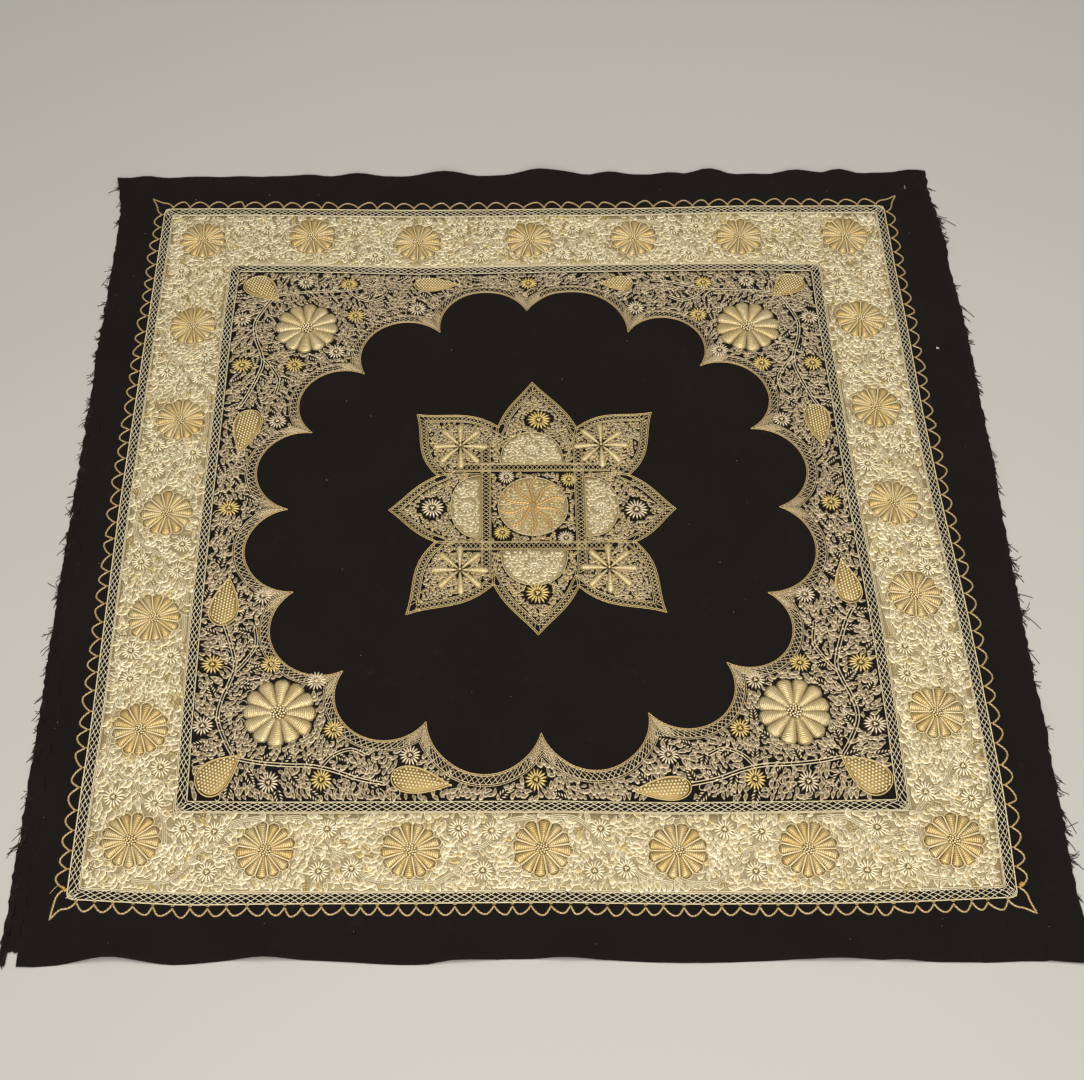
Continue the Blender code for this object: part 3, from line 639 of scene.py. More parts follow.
for foot in np.concatenate(feet):
    x, y, z = foot
    picot_lines.append((((x - 0.0015, y, z), (x, y, z + 0.0008), (x + 0.0015, y, z)), 0.0018, 0.6, False))
couched("picot_loops", picot_lines, copper_cord, "copper_gold_cord", "picot_cord", sides=6, flatness=0.75)


# ---------- Lattice bands ----------
# Two open bands, one on each side of the border. Cream threads cross in three rows of diamonds over the bare
# black wool, and a pale gold cord is couched along each side of the band.
LATTICE_PITCH = 0.0094
THREAD_WIDTH = 0.0008


def crossed(inner, outer, pitch, reach, rng, sway=0.0006):
    """Threads that cross between two square lines, each running this far along as it goes over."""
    lines = []
    for quarter in range(4):
        for heading in (1, -1):
            for start in np.arange(-outer, outer, pitch):
                x0, x1 = start, start + heading * reach
                if abs(x0) > inner + 0.002 or abs(x1) > outer:
                    continue
                shift = rng.normal(0, sway, 6)
                lift = 0.0011 if heading > 0 else 0.0006
                way = [(x0 + shift[0], -inner, 0.0005), (x0 * 0.67 + x1 * 0.33 + shift[1], -inner * 0.67 - outer * 0.33, lift),
                       (x0 * 0.33 + x1 * 0.67 + shift[2], -inner * 0.33 - outer * 0.67, lift), (x1 + shift[3], -outer, 0.0005)]
                lines.append((turn_about(way, quarter), THREAD_WIDTH, rng.uniform(0, 0.25), False))
        for part in (0.0, 0.5):
            a = (outer - inner) * part
            for (x0, y0), (x1, y1), z in (((inner + a, -inner), (outer, a - outer), 0.0010), ((inner, -inner - a), (outer - a, -outer), 0.0010),
                                          ((inner, a - outer), (outer - a, -inner), 0.0006), ((outer, -inner - a), (inner + a, -outer), 0.0006)):
                lines.append((turn_about(((x0, y0, 0.0005), ((x0 + x1) / 2, (y0 + y1) / 2, z), (x1, y1, 0.0005)), quarter),
                              THREAD_WIDTH, 0.1, False))
    return lines


def square_line(half, z=0.0007, radius=0.003):
    """A square run of cord with slightly rounded corners."""
    corner = [(half - radius, -half, z), (half - radius * 0.25, -half + radius * 0.25, z), (half, -half + radius, z)]
    side = [(x, -half, z) for x in np.linspace(-half + 2 * radius, half - 2 * radius, 40)]
    return np.concatenate([turn_about(side + corner, quarter) for quarter in range(4)])


cream_thread = twisted("cream_thread", (0.96, 0.88, 0.64), (0.86, 0.68, 0.32), lay=0.0030, metallic=0.10)
rng = np.random.default_rng(41)
outer_threads = crossed(0.4880, 0.4985, LATTICE_PITCH, 2.0 * LATTICE_PITCH, rng)
outer_threads += [(square_line(0.4995, radius=0.006), 0.0015, 0.45, True), (square_line(0.4878), 0.0012, 0.2, True)]
couched("outer_lattice_threads", outer_threads, cream_thread, "silver_grey_thread", "outer_lattice", sides=4)
inner_threads = crossed(0.3852, 0.3955, LATTICE_PITCH, 2.0 * LATTICE_PITCH, rng)
inner_threads += [(square_line(0.3962), 0.0012, 0.25, True), (square_line(0.3846), 0.0012, 0.45, True)]
couched("inner_lattice_threads", inner_threads, cream_thread, "silver_grey_thread", "inner_lattice", sides=4)


# ---------- Gold border ----------
# A band 90 mm wide worked solid with pale gold metal thread: leaves outlined in bright cord and filled with
# duller chips, small daisies of thread loops, double stems winding between the rosettes, and gold sprays.
BORDER_OUTER, BORDER_INNER = 0.4870, 0.3970
ROSETTE_PITCH = 0.1465
GROUND_HEIGHT = 0.0009


def blob(name, outline, rings, crown=None, crown_rim=0.0):
    """A closed shape of rings on this outline, each (share of the outline, height, rim); then the crown's height."""
    outline = np.asarray(outline, float)
    count = len(outline)
    vertices, rim, faces = [], [], [tuple(range(count))[::-1]]
    for share, height, edge in rings:
        vertices += [(x * share, y * share, height) for x, y in outline]
        rim += [edge] * count
    for level in range(len(rings) - 1):
        for i in range(count):
            j = (i + 1) % count
            a, b = level * count, (level + 1) * count
            faces.append((a + i, a + j, b + j, b + i))
    last = (len(rings) - 1) * count
    if crown is None:
        faces.append(tuple(range(last, last + count)))
    else:
        vertices.append((0, 0, crown))
        rim.append(crown_rim)
        faces += [(last + i, last + (i + 1) % count, len(vertices) - 1) for i in range(count)]
    made = bpy.data.meshes.new(name)
    made.from_pydata(vertices, [], faces)
    made.attributes.new("rim", "FLOAT", "POINT").data.foreach_set("value", rim)
    made.shade_smooth()
    return made


def drop(count, pointed, bend=0.0):
    """Outline of a leaf from its round foot at x = -0.5 to its point at x = 0.5."""
    angles = 2 * math.pi * np.arange(count) / count
    x = 0.5 * np.cos(angles)
    y = 0.5 * np.sin(angles) * np.abs(np.sin(angles / 2)) ** pointed * (1 + 0.35 * pointed)
    return np.column_stack([x, y + bend * (x * x - 0.12)])


def padded_petal(name, foot, full_at, end_round, soft_edge):
    """A stuffed petal from its foot at x = 0 to its round end at x = 1, one unit wide and one high."""
    lengthwise, crosswise = 9, 7
    shares = np.linspace(0, 1, lengthwise)
    vertices, rim, rib = [], [], []
    for x in shares:
        width = foot + (1 - foot) * min(1, x / full_at) ** 0.9
        if x > 1 - end_round:
            width *= max(0.0, 1 - ((x - 1 + end_round) / end_round) ** 2.2) ** 0.5
        height = (0.35 + 0.65 * math.sin(math.pi / 2 * min(1, x / 0.55))) * max(0.0, 1 - x ** 7) ** 0.6
        for t in np.linspace(-1, 1, crosswise):
            vertices.append((x, t * max(width, 0.16) / 2, height * max(0.0, 1 - abs(t) ** soft_edge) ** 0.75))
            rim.append(1.0 if abs(t) > 0.99 or x > 0.99 else 0.0)
            rib.append(x)
    faces = []
    for i in range(lengthwise - 1):
        for j in range(crosswise - 1):
            a = i * crosswise + j
            faces.append((a, a + crosswise, a + crosswise + 1, a + 1))
    around = ([i * crosswise for i in range(lengthwise)] + [(lengthwise - 1) * crosswise + j for j in range(1, crosswise)]
              + [i * crosswise + crosswise - 1 for i in range(lengthwise - 2, -1, -1)]
              + [j for j in range(crosswise - 2, 0, -1)])
    faces.append(tuple(around[::-1]))
    made = bpy.data.meshes.new(name)
    made.from_pydata(vertices, [], faces)
    made.attributes.new("rim", "FLOAT", "POINT").data.foreach_set("value", rim)
    made.attributes.new("rib", "FLOAT", "POINT").data.foreach_set("value", rib)
    made.shade_smooth()
    return made


# rim is −1 at a stitch's foot, painted with shade by metal_work, and 1 on its raised crest, painted in the bright cord
# colour, which there is also a painted highlight; a knot's crown is such a highlight.
LEAF_RINGS = ((1.0, 0.0, -1.0), (0.80, 1.0, 1.0))
SHAPES = (blob("a_leaf", drop(8, 0.7), LEAF_RINGS, 0.50), blob("b_leaf_hooked", drop(8, 0.8, 1.1), LEAF_RINGS, 0.50),
          blob("c_leaf_hooked_back", drop(8, 0.8, -1.1), LEAF_RINGS, 0.50),
          blob("d_loop", drop(6, 0.25), ((1.0, 0.0, -1.0), (0.78, 1.0, 1.0)), 0.22),
          blob("e_knot", drop(6, 0.0), ((1.0, 0.0, -0.5), (0.72, 0.75, 1.0)), 1.0, 1.0),
          blob("f_bar", drop(4, 0.0), ((1.0, 0.0, -0.6), (0.50, 1.0, 1.0))),
          padded_petal("g_wedge_petal", 0.12, 0.94, 0.14, 1.9),
          padded_petal("h_satin_petal", 0.22, 0.80, 0.26, 2.6),
          blob("i_bead_bar", drop(6, 0.0), ((1.0, 0.0, -0.4), (0.60, 1.0, 1.0))))
LEAF, HOOKED, HOOKED_BACK, LOOP, KNOT, BAR, WEDGE, SATIN, THICK_BAR = range(9)
stitch_shapes = bpy.data.collections.new("stitch_shapes")
for shape in SHAPES:
    stitch_shapes.objects.link(bpy.data.objects.new(shape.name, shape))

stitch_tree, plan, given = new_tree("stitches_at_places", ("Places", "Geometry"), ("Shapes", "Collection"),
                                    ("Thread share", "Float"), ("Finish", "Material"))


def stored(plan, name, kind):
    return plan.add("GeometryNodeInputNamedAttribute", {"data_type": kind}, Name=name)["Attribute"]


shapes = plan.add("GeometryNodeCollectionInfo", {"transform_space": "ORIGINAL"}, Collection=given["Shapes"],
                  Separate_Children=True, Reset_Children=True)
heading = plan.add("ShaderNodeCombineXYZ", None, X=0.0, Y=0.0, Z=stored(plan, "turn", "FLOAT"))
heading = plan.add("FunctionNodeEulerToRotation", None, Euler=heading)
size = plan.add("ShaderNodeVectorMath", {"operation": "SCALE"}, stored(plan, "size", "FLOAT_VECTOR"),
                Scale=given["Thread share"])
worked = plan.add("GeometryNodeInstanceOnPoints", None, Points=given["Places"], Instance=shapes, Pick_Instance=True,
                  Instance_Index=stored(plan, "kind", "INT"), Rotation=heading, Scale=size)
worked = plan.add("GeometryNodeRealizeInstances", None, Geometry=worked)
plan.add("NodeGroupOutput", None, plan.add("GeometryNodeSetMaterial", None, Geometry=worked, Material=given["Finish"]))


class Stitches:
    """A list of stitches to be worked as one piece."""

    def __init__(self):
        self.rows = []

    def add(self, kind, x, y, turn, length, width, height, z=0.0, gold=0.0, tint=0.5):
        self.rows.append((kind, x, y, z, turn, length, width, height, gold, tint))

    def daisy(self, x, y, radius, petals, rng, gold=0.0, kind=LOOP, height=0.0011, z=0.0, middle=0.12):
        """Petals round a ring of knots."""
        start = rng.uniform(0, 1)
        for k in range(petals):
            angle = 2 * math.pi * (k + start) / petals
            length = radius * (1 - middle * 0.8) * rng.uniform(0.93, 1.05)
            out = radius * middle * 0.8 + length / 2
            self.add(kind, x + out * math.cos(angle), y + out * math.sin(angle), angle + math.pi, length,
                     2 * math.pi * radius * 0.66 / petals * (0.86 if kind == LOOP else 0.76), height, z,
                     gold + rng.normal(0, 0.06), rng.uniform(0.4, 1))
        for k in range(3):
            angle = 2 * math.pi * (k + start) / 3
            self.add(KNOT, x + radius * 0.09 * math.cos(angle), y + radius * 0.09 * math.sin(angle), angle,
                     radius * 0.24, radius * 0.22, height * 1.2, z, min(1, gold + 0.3), rng.uniform(0.5, 1))

    def spray(self, x, y, turn, length, pairs, rng, gold=0.0, height=0.0010, z=0.0, spread=0.9):
        """A feathered leaf: pairs of bars that lean off a midrib, shorter towards its tip."""
        for k in range(pairs):
            share = (k + 0.5) / pairs
            reach = length * (0.40 * (1 - share) ** 0.6 + 0.07) * (0.75 if k == 0 else 1)
            for side in (1, -1):
                lean = turn + side * spread * (0.95 - 0.35 * share)
                px = x + length * (share - 0.5) * math.cos(turn) + reach / 2 * math.cos(lean)
                py = y + length * (share - 0.5) * math.sin(turn) + reach / 2 * math.sin(lean)
                self.add(BAR, px, py, lean, reach, length / pairs * 0.66, height, z, gold, rng.uniform(0.7, 1))
        self.add(BAR, x + length * 0.42 * math.cos(turn), y + length * 0.42 * math.sin(turn), turn, length * 0.25,
                 length / pairs * 0.6, height, z, gold, 0.8)

    def sewn(self, name, finish, slot, *nodes, share=1.0):
        """All the stitches as one mesh on the cloth."""
        rows = np.array(self.rows, float)
        points = bpy.data.meshes.new(name)
        points.from_pydata(rows[:, 1:4].tolist(), [], [])
        points.attributes.new("kind", "INT", "POINT").data.foreach_set("value", rows[:, 0].astype(int))
        points.attributes.new("turn", "FLOAT", "POINT").data.foreach_set("value", rows[:, 4])
        points.attributes.new("size", "FLOAT_VECTOR", "POINT").data.foreach_set("vector", rows[:, 5:8].ravel())
        points.attributes.new("gold", "FLOAT", "POINT").data.foreach_set("value", rows[:, 8])
        points.attributes.new("tint", "FLOAT", "POINT").data.foreach_set("value", rows[:, 9])
        mesh = grown(points, stitch_tree, Shapes=stitch_shapes, Finish=finish, **{"Thread share": share})
        laid(mesh)
        return finished(name, mesh, finish, slot, *nodes)


def metal_work(name, pale, gold, fill, gold_fill, shade, metallic=0.60, roughness=0.40, ribs=0.0, rib_shading=0.5,
               chip=620):
    """The finish of metal-thread stitches: a bright rim of cord that is also a painted highlight on raised crests, a
    duller fill of chips with painted shade dots, painted highlight and shade on ribs, and painted shade where it meets
    the cloth.
    """
    made, plan = new_finish(name)
    place = plan.add("ShaderNodeTexCoord")["Object"]
    edge_mark = plan.add("ShaderNodeAttribute", {"attribute_name": "rim"})["Fac"]
    # Rim near 1: the bright outline cord, and on raised crests also a painted highlight.
    rim = plan.add("ShaderNodeMapRange", None, edge_mark, 0.60, 0.88)
    # Painted shade at the foot, where the stitch meets the cloth.
    foot = plan.add("ShaderNodeMath", {"operation": "MAXIMUM"}, 0.0 - edge_mark, 0.0)
    golden = plan.add("ShaderNodeAttribute", {"attribute_name": "gold"})["Fac"]
    tint = plan.add("ShaderNodeAttribute", {"attribute_name": "tint"})["Fac"]
    chips = plan.noise(place, chip, 2.0, 0.6)
    tarnish = plan.noise(place, 26, 4.0, 0.65)
    edge = plan.mix(golden, pale, gold)
    body = plan.mix(golden, fill, gold_fill)
    # Painted shade: dots of the shade colour in the gaps between the chips.
    shade_dots = plan.add("ShaderNodeValToRGB", {"stops": ((0.42, (0, 0, 0)), (0.62, (1, 1, 1)))}, chips)
    body = plan.mix(shade_dots * 0.75, body, shade)
    height = chips * 0.6
    if ribs:
        rib = plan.add("ShaderNodeAttribute", {"attribute_name": "rib"})["Fac"]
        sway = plan.noise(place, 220, 3.0, 0.7) * 1.1
        wound = plan.add("ShaderNodeMath", {"operation": "COSINE"}, (rib * ribs + sway) * (2 * math.pi)) * 0.5 + 0.5
        # Painted highlight on the rib crests and painted shade in the troughs between them.
        body = plan.mix(wound * rib_shading, body, edge)
        body = plan.mix((1 - wound) * rib_shading, body, shade)
        height = height + wound * 0.9
    # The bright cord colour where rim is near 1, also a painted highlight on raised crests.
    colour = plan.mix(rim, body, edge)
    colour = plan.mix((1 - tint) * 0.35, colour, tuple(c * 0.55 for c in fill))
    colour = plan.mix(tarnish * tarnish * 0.35, colour, tuple(c * 0.8 for c in gold_fill))
    # Painted shade: the foot is darkened toward the shade colour.
    colour = plan.mix(foot, colour, tuple(c * 0.35 for c in shade))
    bump = plan.add("ShaderNodeBump", None, Strength=0.7, Distance=0.0004, Height=height)
    plan.finish(plan.add("ShaderNodeBsdfPrincipled", None, Base_Color=colour, Metallic=metallic,
                         Roughness=chips * 0.25 + (roughness - 0.1), Normal=bump))
    return made


def spread_out(inside, extent, pitch, blocked, rng, rounds=3):
    """Places for leaves: about this far apart, inside the region and clear of the blocked discs."""
    count_x, count_y = int(2 * extent / pitch) + 2, int(2 * extent / (pitch * 0.87)) + 2
    grid = [((i + 0.5 * (j % 2)) * pitch - extent, j * pitch * 0.87 - extent)
            for j in range(count_y) for i in range(count_x)]
    points = np.array(grid) + rng.normal(0, pitch * 0.20, (len(grid), 2))
    for step in range(rounds):
        keep = inside(points[:, 0], points[:, 1])
        for x, y, radius in blocked:
            keep &= np.hypot(points[:, 0] - x, points[:, 1] - y) > radius
        points = points[keep]
        if step == rounds - 1:
            break
        tree = KDTree(len(points))
        for index, (x, y) in enumerate(points):
            tree.insert((x, y, 0), index)
        tree.balance()
        moved = points.copy()
        for index, (x, y) in enumerate(points):
            for near, other, gap in tree.find_n((x, y, 0), 7):
                if other != index and gap < pitch:
                    moved[index] += (points[index] - points[other]) / max(gap, 1e-6) * (pitch - gap) * 0.22
        points = moved
    return points


class Vines:
    """Stems that leaves grow from: it gives the stem's direction next to a place, and its side."""

    def __init__(self, lines):
        samples = [(a, b - a) for line in lines for a, b in zip(line, line[1:])]
        self.headings = [math.atan2(d[1], d[0]) for _, d in samples]
        self.points = [p for p, _ in samples]
        self.tree = KDTree(len(samples))
        for index, point in enumerate(self.points):
            self.tree.insert((point[0], point[1], 0), index)
        self.tree.balance()

    def beside(self, x, y):
        _, index, gap = self.tree.find((x, y, 0))
        heading = self.headings[index]
        px, py = self.points[index][:2]
        side = 1 if math.cos(heading) * (y - py) - math.sin(heading) * (x - px) > 0 else -1
        return heading, side, gap


def offset_line(line, distance):
    """The line moved sideways by this much, to its left."""
    line = np.asarray(line, float)
    ahead = np.gradient(line[:, :2], axis=0)
    ahead /= np.maximum(np.linalg.norm(ahead, axis=1, keepdims=True), 1e-9)
    moved = line.copy()
    moved[:, 0] -= ahead[:, 1] * distance
    moved[:, 1] += ahead[:, 0] * distance
    return moved


def scrolls(places, vines, reach, width, z, rng):
    """A fine curled tendril at each place, leaving the way the stem beside it runs."""
    lines = []
    for x, y in places:
        heading, side, _ = vines.beside(x, y)
        length, curl = reach * rng.uniform(0.6, 1.3), side * rng.uniform(1.2, 3.6)
        steps = np.linspace(0, 1, 7)
        angles = heading + side * 0.4 + curl * steps ** 1.6 + rng.normal(0, 0.3)
        way = np.column_stack([np.cumsum(np.cos(angles)), np.cumsum(np.sin(angles))]) * length / 7
        way += (x, y) - way.mean(axis=0)
        lines.append((np.column_stack([way, np.full(7, z)]), width, rng.uniform(0, 0.2), False))
    return lines


def in_border(x, y):
    reach = np.maximum(np.abs(x), np.abs(y))
    return (reach > BORDER_INNER + 0.003) & (reach < BORDER_OUTER - 0.003)


rosette_places = (
    (-0.4398, -0.4304), (-0.294, -0.4406), (-0.1379, -0.4407), (0.0027, -0.4395), (0.1475, -0.4406), (0.2866, -0.4395),
    (0.439, -0.4327), (-0.4429, -0.3029), (0.4414, -0.2843), (-0.4405, -0.1587), (0.442, -0.1302), (-0.4395, -0.0118),
    (0.4395, 0.0), (-0.4379, 0.1306), (0.4395, 0.1465), (-0.4375, 0.2861), (0.4395, 0.293), (-0.4395, 0.4395),
    (-0.2921, 0.4479), (-0.1465, 0.4395), (0.0055, 0.4423), (0.1488, 0.4432), (0.2933, 0.4423), (0.4387, 0.4442))
rng = np.random.default_rng(101)
border_daisies, border_stems = [], []
for quarter in range(4):
    for k in range(-3, 3):
        between = (k + 0.5) * ROSETTE_PITCH
        flip = 1 if (k + quarter) % 2 else -1
        spots_here = [(between - 0.017 + rng.normal(0, 0.002), -0.4400 + flip * 0.024, 0),
                      (between + 0.020 + rng.normal(0, 0.002), -0.4400 + flip * 0.021, 0),
                      (between + 0.010 * flip + rng.normal(0, 0.003), -0.4400 - flip * 0.024, 0)]
        border_daisies += turn_about(spots_here, quarter)[:, :2].tolist()
        sway = [(between - 0.066, -0.4400 - flip * 0.036), (between - 0.034, -0.4400 - flip * 0.036),
                (between - 0.012, -0.4400 - flip * 0.018), (between, -0.4400 - flip * 0.001),
                (between + 0.016, -0.4400 + flip * 0.006), (between + 0.034, -0.4400 + flip * 0.030),
                (between + 0.066, -0.4400 + flip * 0.037)]
        border_stems.append(turn_about(smooth_line(np.column_stack([sway, [0.0012] * 7]), 8), quarter))
vines = Vines(border_stems)
blocked = [(x, y, 0.0330) for x, y in rosette_places] + [(x, y, 0.0130) for x, y in border_daisies]
gold_sprays = spread_out(in_border, BORDER_OUTER, 0.036, [(x, y, r + 0.006) for x, y, r in blocked], rng)
tendril_places = spread_out(in_border, BORDER_OUTER, 0.0120, blocked, rng)
leaf_places = spread_out(in_border, BORDER_OUTER, 0.0066, blocked + [(x, y, 0.0050) for x, y in gold_sprays], rng)

pale_gold_work = metal_work("pale_gold_work", (1.0, 0.92, 0.70), (0.74, 0.56, 0.21), (0.58, 0.46, 0.25),
                            (0.46, 0.32, 0.085), (0.21, 0.145, 0.050), metallic=0.22)
sides = [Stitches() for _ in range(4)]


def side_of(x, y):
    """Which side of the square a place is on: 0 front, 1 right, 2 back, 3 left."""
    if abs(x) > abs(y):
        return 1 if x > 0 else 3
    return 2 if y > 0 else 0


for x, y in leaf_places:
    heading, side, gap = vines.beside(x, y)
    if gap < 0.0034:
        continue
    turn = heading + side * rng.normal(0.9, 0.75) + (math.pi if rng.random() < 0.2 else 0)
    scale = rng.uniform(0.70, 1.35)
    sides[side_of(x, y)].add(rng.choice((LEAF, HOOKED, HOOKED_BACK)), x, y, turn, 0.0124 * scale, 0.0060 * scale,
                             0.0012 * rng.uniform(0.75, 1.3), GROUND_HEIGHT - 0.0002,
                             rng.uniform(0.5, 0.9) if rng.random() < 0.10 else rng.uniform(0, 0.2), rng.uniform(0.3, 1))
for x, y in gold_sprays:
    heading, side, gap = vines.beside(x, y)
    sides[side_of(x, y)].spray(x, y, heading + side * rng.normal(0.9, 0.3), 0.015, 5, rng,
                               rng.choice((0.3, 0.9, 1.0)), 0.0015, GROUND_HEIGHT)
for x, y in border_daisies:
    sides[side_of(x, y)].daisy(x, y, 0.0140, 16, rng, 0.25, THICK_BAR, 0.0015, GROUND_HEIGHT - 0.0001)
for name, stitches in zip(("front", "right", "back", "left"), sides):
    stitches.sewn(f"border_leaves_{name}", pale_gold_work, "pale_gold_thread")

step = 0.009
cells = []
marks = np.arange(-BORDER_OUTER, BORDER_OUTER + step / 2, 2 * BORDER_OUTER / round(2 * BORDER_OUTER / step))
corner_index = {}
ground_points, ground_faces = [], []
for j in range(len(marks) - 1):
    for i in range(len(marks) - 1):
        middle = ((marks[i] + marks[i + 1]) / 2, (marks[j] + marks[j + 1]) / 2)
        if max(abs(middle[0]), abs(middle[1])) < BORDER_INNER:
            continue
        face = []
        for ci, cj in ((i, j), (i + 1, j), (i + 1, j + 1), (i, j + 1)):
            if (ci, cj) not in corner_index:
                corner_index[ci, cj] = len(ground_points)
                ground_points.append((marks[ci], marks[cj], GROUND_HEIGHT))
            face.append(corner_index[ci, cj])
        ground_faces.append(face)
band_mesh = bpy.data.meshes.new("border_ground")
band_mesh.from_pydata(ground_points, [], ground_faces)
laid(band_mesh)
band_mesh.shade_smooth()
# The ground is the couched gold under the leaves; its dark olive colour is painted shade for the crevices between them.
ground_finish, plan = new_finish("olive_gold_ground")
place = plan.add("ShaderNodeTexCoord")["Object"]
chips = plan.noise(place, 700, 2.0, 0.6)
colour = plan.mix(plan.noise(place, 30, 3.0), (0.22, 0.16, 0.072), (0.13, 0.092, 0.038))
bump = plan.add("ShaderNodeBump", None, Strength=0.8, Distance=0.0005, Height=chips)
plan.finish(plan.add("ShaderNodeBsdfPrincipled", None, Base_Color=plan.mix(chips, colour, (0.40, 0.31, 0.155)),
                     Metallic=0.2, Roughness=0.5, Normal=bump))
border_ground = finished("border_ground", band_mesh, ground_finish, "pale_gold_thread", "border_band")
thickness = border_ground.modifiers.new("padding_thickness", "SOLIDIFY")
thickness.thickness = 0.0010
thickness.offset = -1

stem_lines = []
for stem in border_stems:
    for distance in (-0.0020, 0.0, 0.0020):
        stem_lines.append((offset_line(stem, distance), 0.0011, rng.uniform(0, 0.2), False))
for half_width in (BORDER_OUTER - 0.0008, BORDER_INNER + 0.0008):
    stem_lines.append((square_line(half_width, 0.0013), 0.0011, 0.3, True))
stem_lines += scrolls(tendril_places, vines, 0.017, 0.0009, 0.0022, rng)
couched("border_stems", stem_lines, cream_thread, "pale_gold_thread", sides=3, flatness=1.0)


# ---------- Rosettes ----------
# Twenty-four rosettes on the border, each of thirteen wedge petals: thread wound across a padding and edged
# with deep gold cord, round a button of dense knots.
ROSETTE_RADIUS, ROSETTE_BUTTON, ROSETTE_PETALS = 0.0325, 0.0070, 13
deep_gold_work = metal_work("deep_gold_work", (0.95, 0.80, 0.48), (0.90, 0.66, 0.28), (0.62, 0.48, 0.24),
                            (0.54, 0.35, 0.085), (0.30, 0.19, 0.055), metallic=0.50, roughness=0.40, ribs=12,
                            rib_shading=0.6, chip=900)
rng = np.random.default_rng(55)
rosettes, edging = Stitches(), []
for x, y in rosette_places:
    petals = ROSETTE_PETALS + rng.integers(-1, 1)
    start = rng.uniform(0, 1)
    for k in range(petals):
        angle = 2 * math.pi * (k + start) / petals
        length = (ROSETTE_RADIUS - ROSETTE_BUTTON * 0.8) * rng.uniform(0.96, 1.03)
        foot_x, foot_y = (x + ROSETTE_BUTTON * 0.8 * math.cos(angle), y + ROSETTE_BUTTON * 0.8 * math.sin(angle))
        width = 2 * math.pi * ROSETTE_RADIUS * 0.82 / petals
        rosettes.add(WEDGE, foot_x, foot_y, angle, length, width, 0.0034, 0.0012, rng.uniform(0.0, 0.9),
                     rng.uniform(0.5, 1))
        outline = []
        for share, half_width in ((0.05, 0.12), (0.35, 0.25), (0.65, 0.40), (0.85, 0.50), (0.97, 0.38), (1.03, 0.15)):
            outline.append((share * length, half_width * width * 1.02))
        outline = outline + [(a, -b) for a, b in outline[::-1]]
        way = [(foot_x + a * math.cos(angle) - b * math.sin(angle), foot_y + a * math.sin(angle) + b * math.cos(angle),
                0.0021) for a, b in outline]
        edging.append((way, 0.0012, rng.uniform(0.0, 0.5), False))
    for k in range(21):
        angle, out = k * 2.39996, ROSETTE_BUTTON * math.sqrt((k + 0.5) / 21)
        rosettes.add(KNOT, x + out * math.cos(angle), y + out * math.sin(angle), angle, 0.0032, 0.0030, 0.0016,
                     0.0026 - out * 0.12, rng.uniform(0.0, 1.0), rng.uniform(0.5, 1))
rosettes.sewn("rosettes", deep_gold_work, "deep_gold_thread", *[f"rosette_{n:02d}" for n in range(1, 25)])
gold_cord = twisted("pale_gold_cord", (1.0, 0.88, 0.56), (0.84, 0.63, 0.26), lay=0.0026, metallic=0.25)
couched("rosette_edging", edging, gold_cord, "deep_gold_thread", sides=4)

# ---------- Corner flowers ----------
# Four large flowers in the field's corners, each of twelve broad petals of pale gold thread laid over thick
# padding, round a knotted button.
FLOWER_RADIUS, FLOWER_BUTTON, FLOWER_PETALS = 0.0430, 0.0090, 12
satin_work = metal_work("satin_gold_work", (0.98, 0.86, 0.58), (0.90, 0.70, 0.34), (0.62, 0.49, 0.26),
                        (0.56, 0.40, 0.14), (0.30, 0.215, 0.085), metallic=0.45, roughness=0.38, ribs=16,
                        rib_shading=0.46, chip=420)
flowers = Stitches()
rng = np.random.default_rng(66)
corner_places = [(sx * 0.290, sy * 0.282) for sx, sy in ((-1, -1), (1, -1), (1, 1), (-1, 1))]
for x, y in corner_places:
    start = rng.uniform(0, 1)
    for k in range(FLOWER_PETALS):
        angle = 2 * math.pi * (k + start) / FLOWER_PETALS
        length = (FLOWER_RADIUS - FLOWER_BUTTON * 0.7) * rng.uniform(0.96, 1.03)
        flowers.add(SATIN, x + FLOWER_BUTTON * 0.7 * math.cos(angle), y + FLOWER_BUTTON * 0.7 * math.sin(angle), angle,
                    length, 2 * math.pi * FLOWER_RADIUS * 0.90 / FLOWER_PETALS, 0.0036, 0.0004,
                    rng.uniform(0.0, 0.8), rng.uniform(0.4, 1))
    for k in range(26):
        angle, out = k * 2.39996, FLOWER_BUTTON * math.sqrt((k + 0.5) / 26)
        flowers.add(KNOT, x + out * math.cos(angle), y + out * math.sin(angle), angle, 0.0034, 0.0034, 0.0018,
                    0.0030 - out * 0.10, rng.uniform(0.2, 0.9), rng.uniform(0.4, 1))
flowers.sewn("corner_flowers", satin_work, "pale_gold_thread", *[f"corner_flower_{n}" for n in range(1, 5)])

# ---------- Buds ----------
# Twelve padded drops, four large in the corners and two on each side: rows of bright knots over gold thread,
# held by a double cord, with a knot at the tip.
Bud = namedtuple("Bud", "x y length width points")
BUDS = (Bud(0.349, 0.353, 0.050, 0.036, 225), Bud(-0.3505, 0.3506, 0.054, 0.036, 315),
        Bud(-0.3508, -0.3536, 0.057, 0.035, 42), Bud(0.3571, -0.3552, 0.054, 0.034, 140),
        Bud(0.1213, 0.361, 0.042, 0.027, 180), Bud(-0.120, 0.361, 0.058, 0.028, 0),
        Bud(-0.1284, -0.363, 0.064, 0.027, 352), Bud(0.1355, -0.3707, 0.062, 0.023, 184),
        Bud(0.3634, 0.1203, 0.062, 0.030, 272), Bud(0.3668, -0.1111, 0.058, 0.026, 94),
        Bud(-0.356, 0.1129, 0.066, 0.031, 262), Bud(-0.3606, -0.136, 0.064, 0.030, 86))
BUD_FULLNESS, BUD_TAPER = 1.34, 1.15


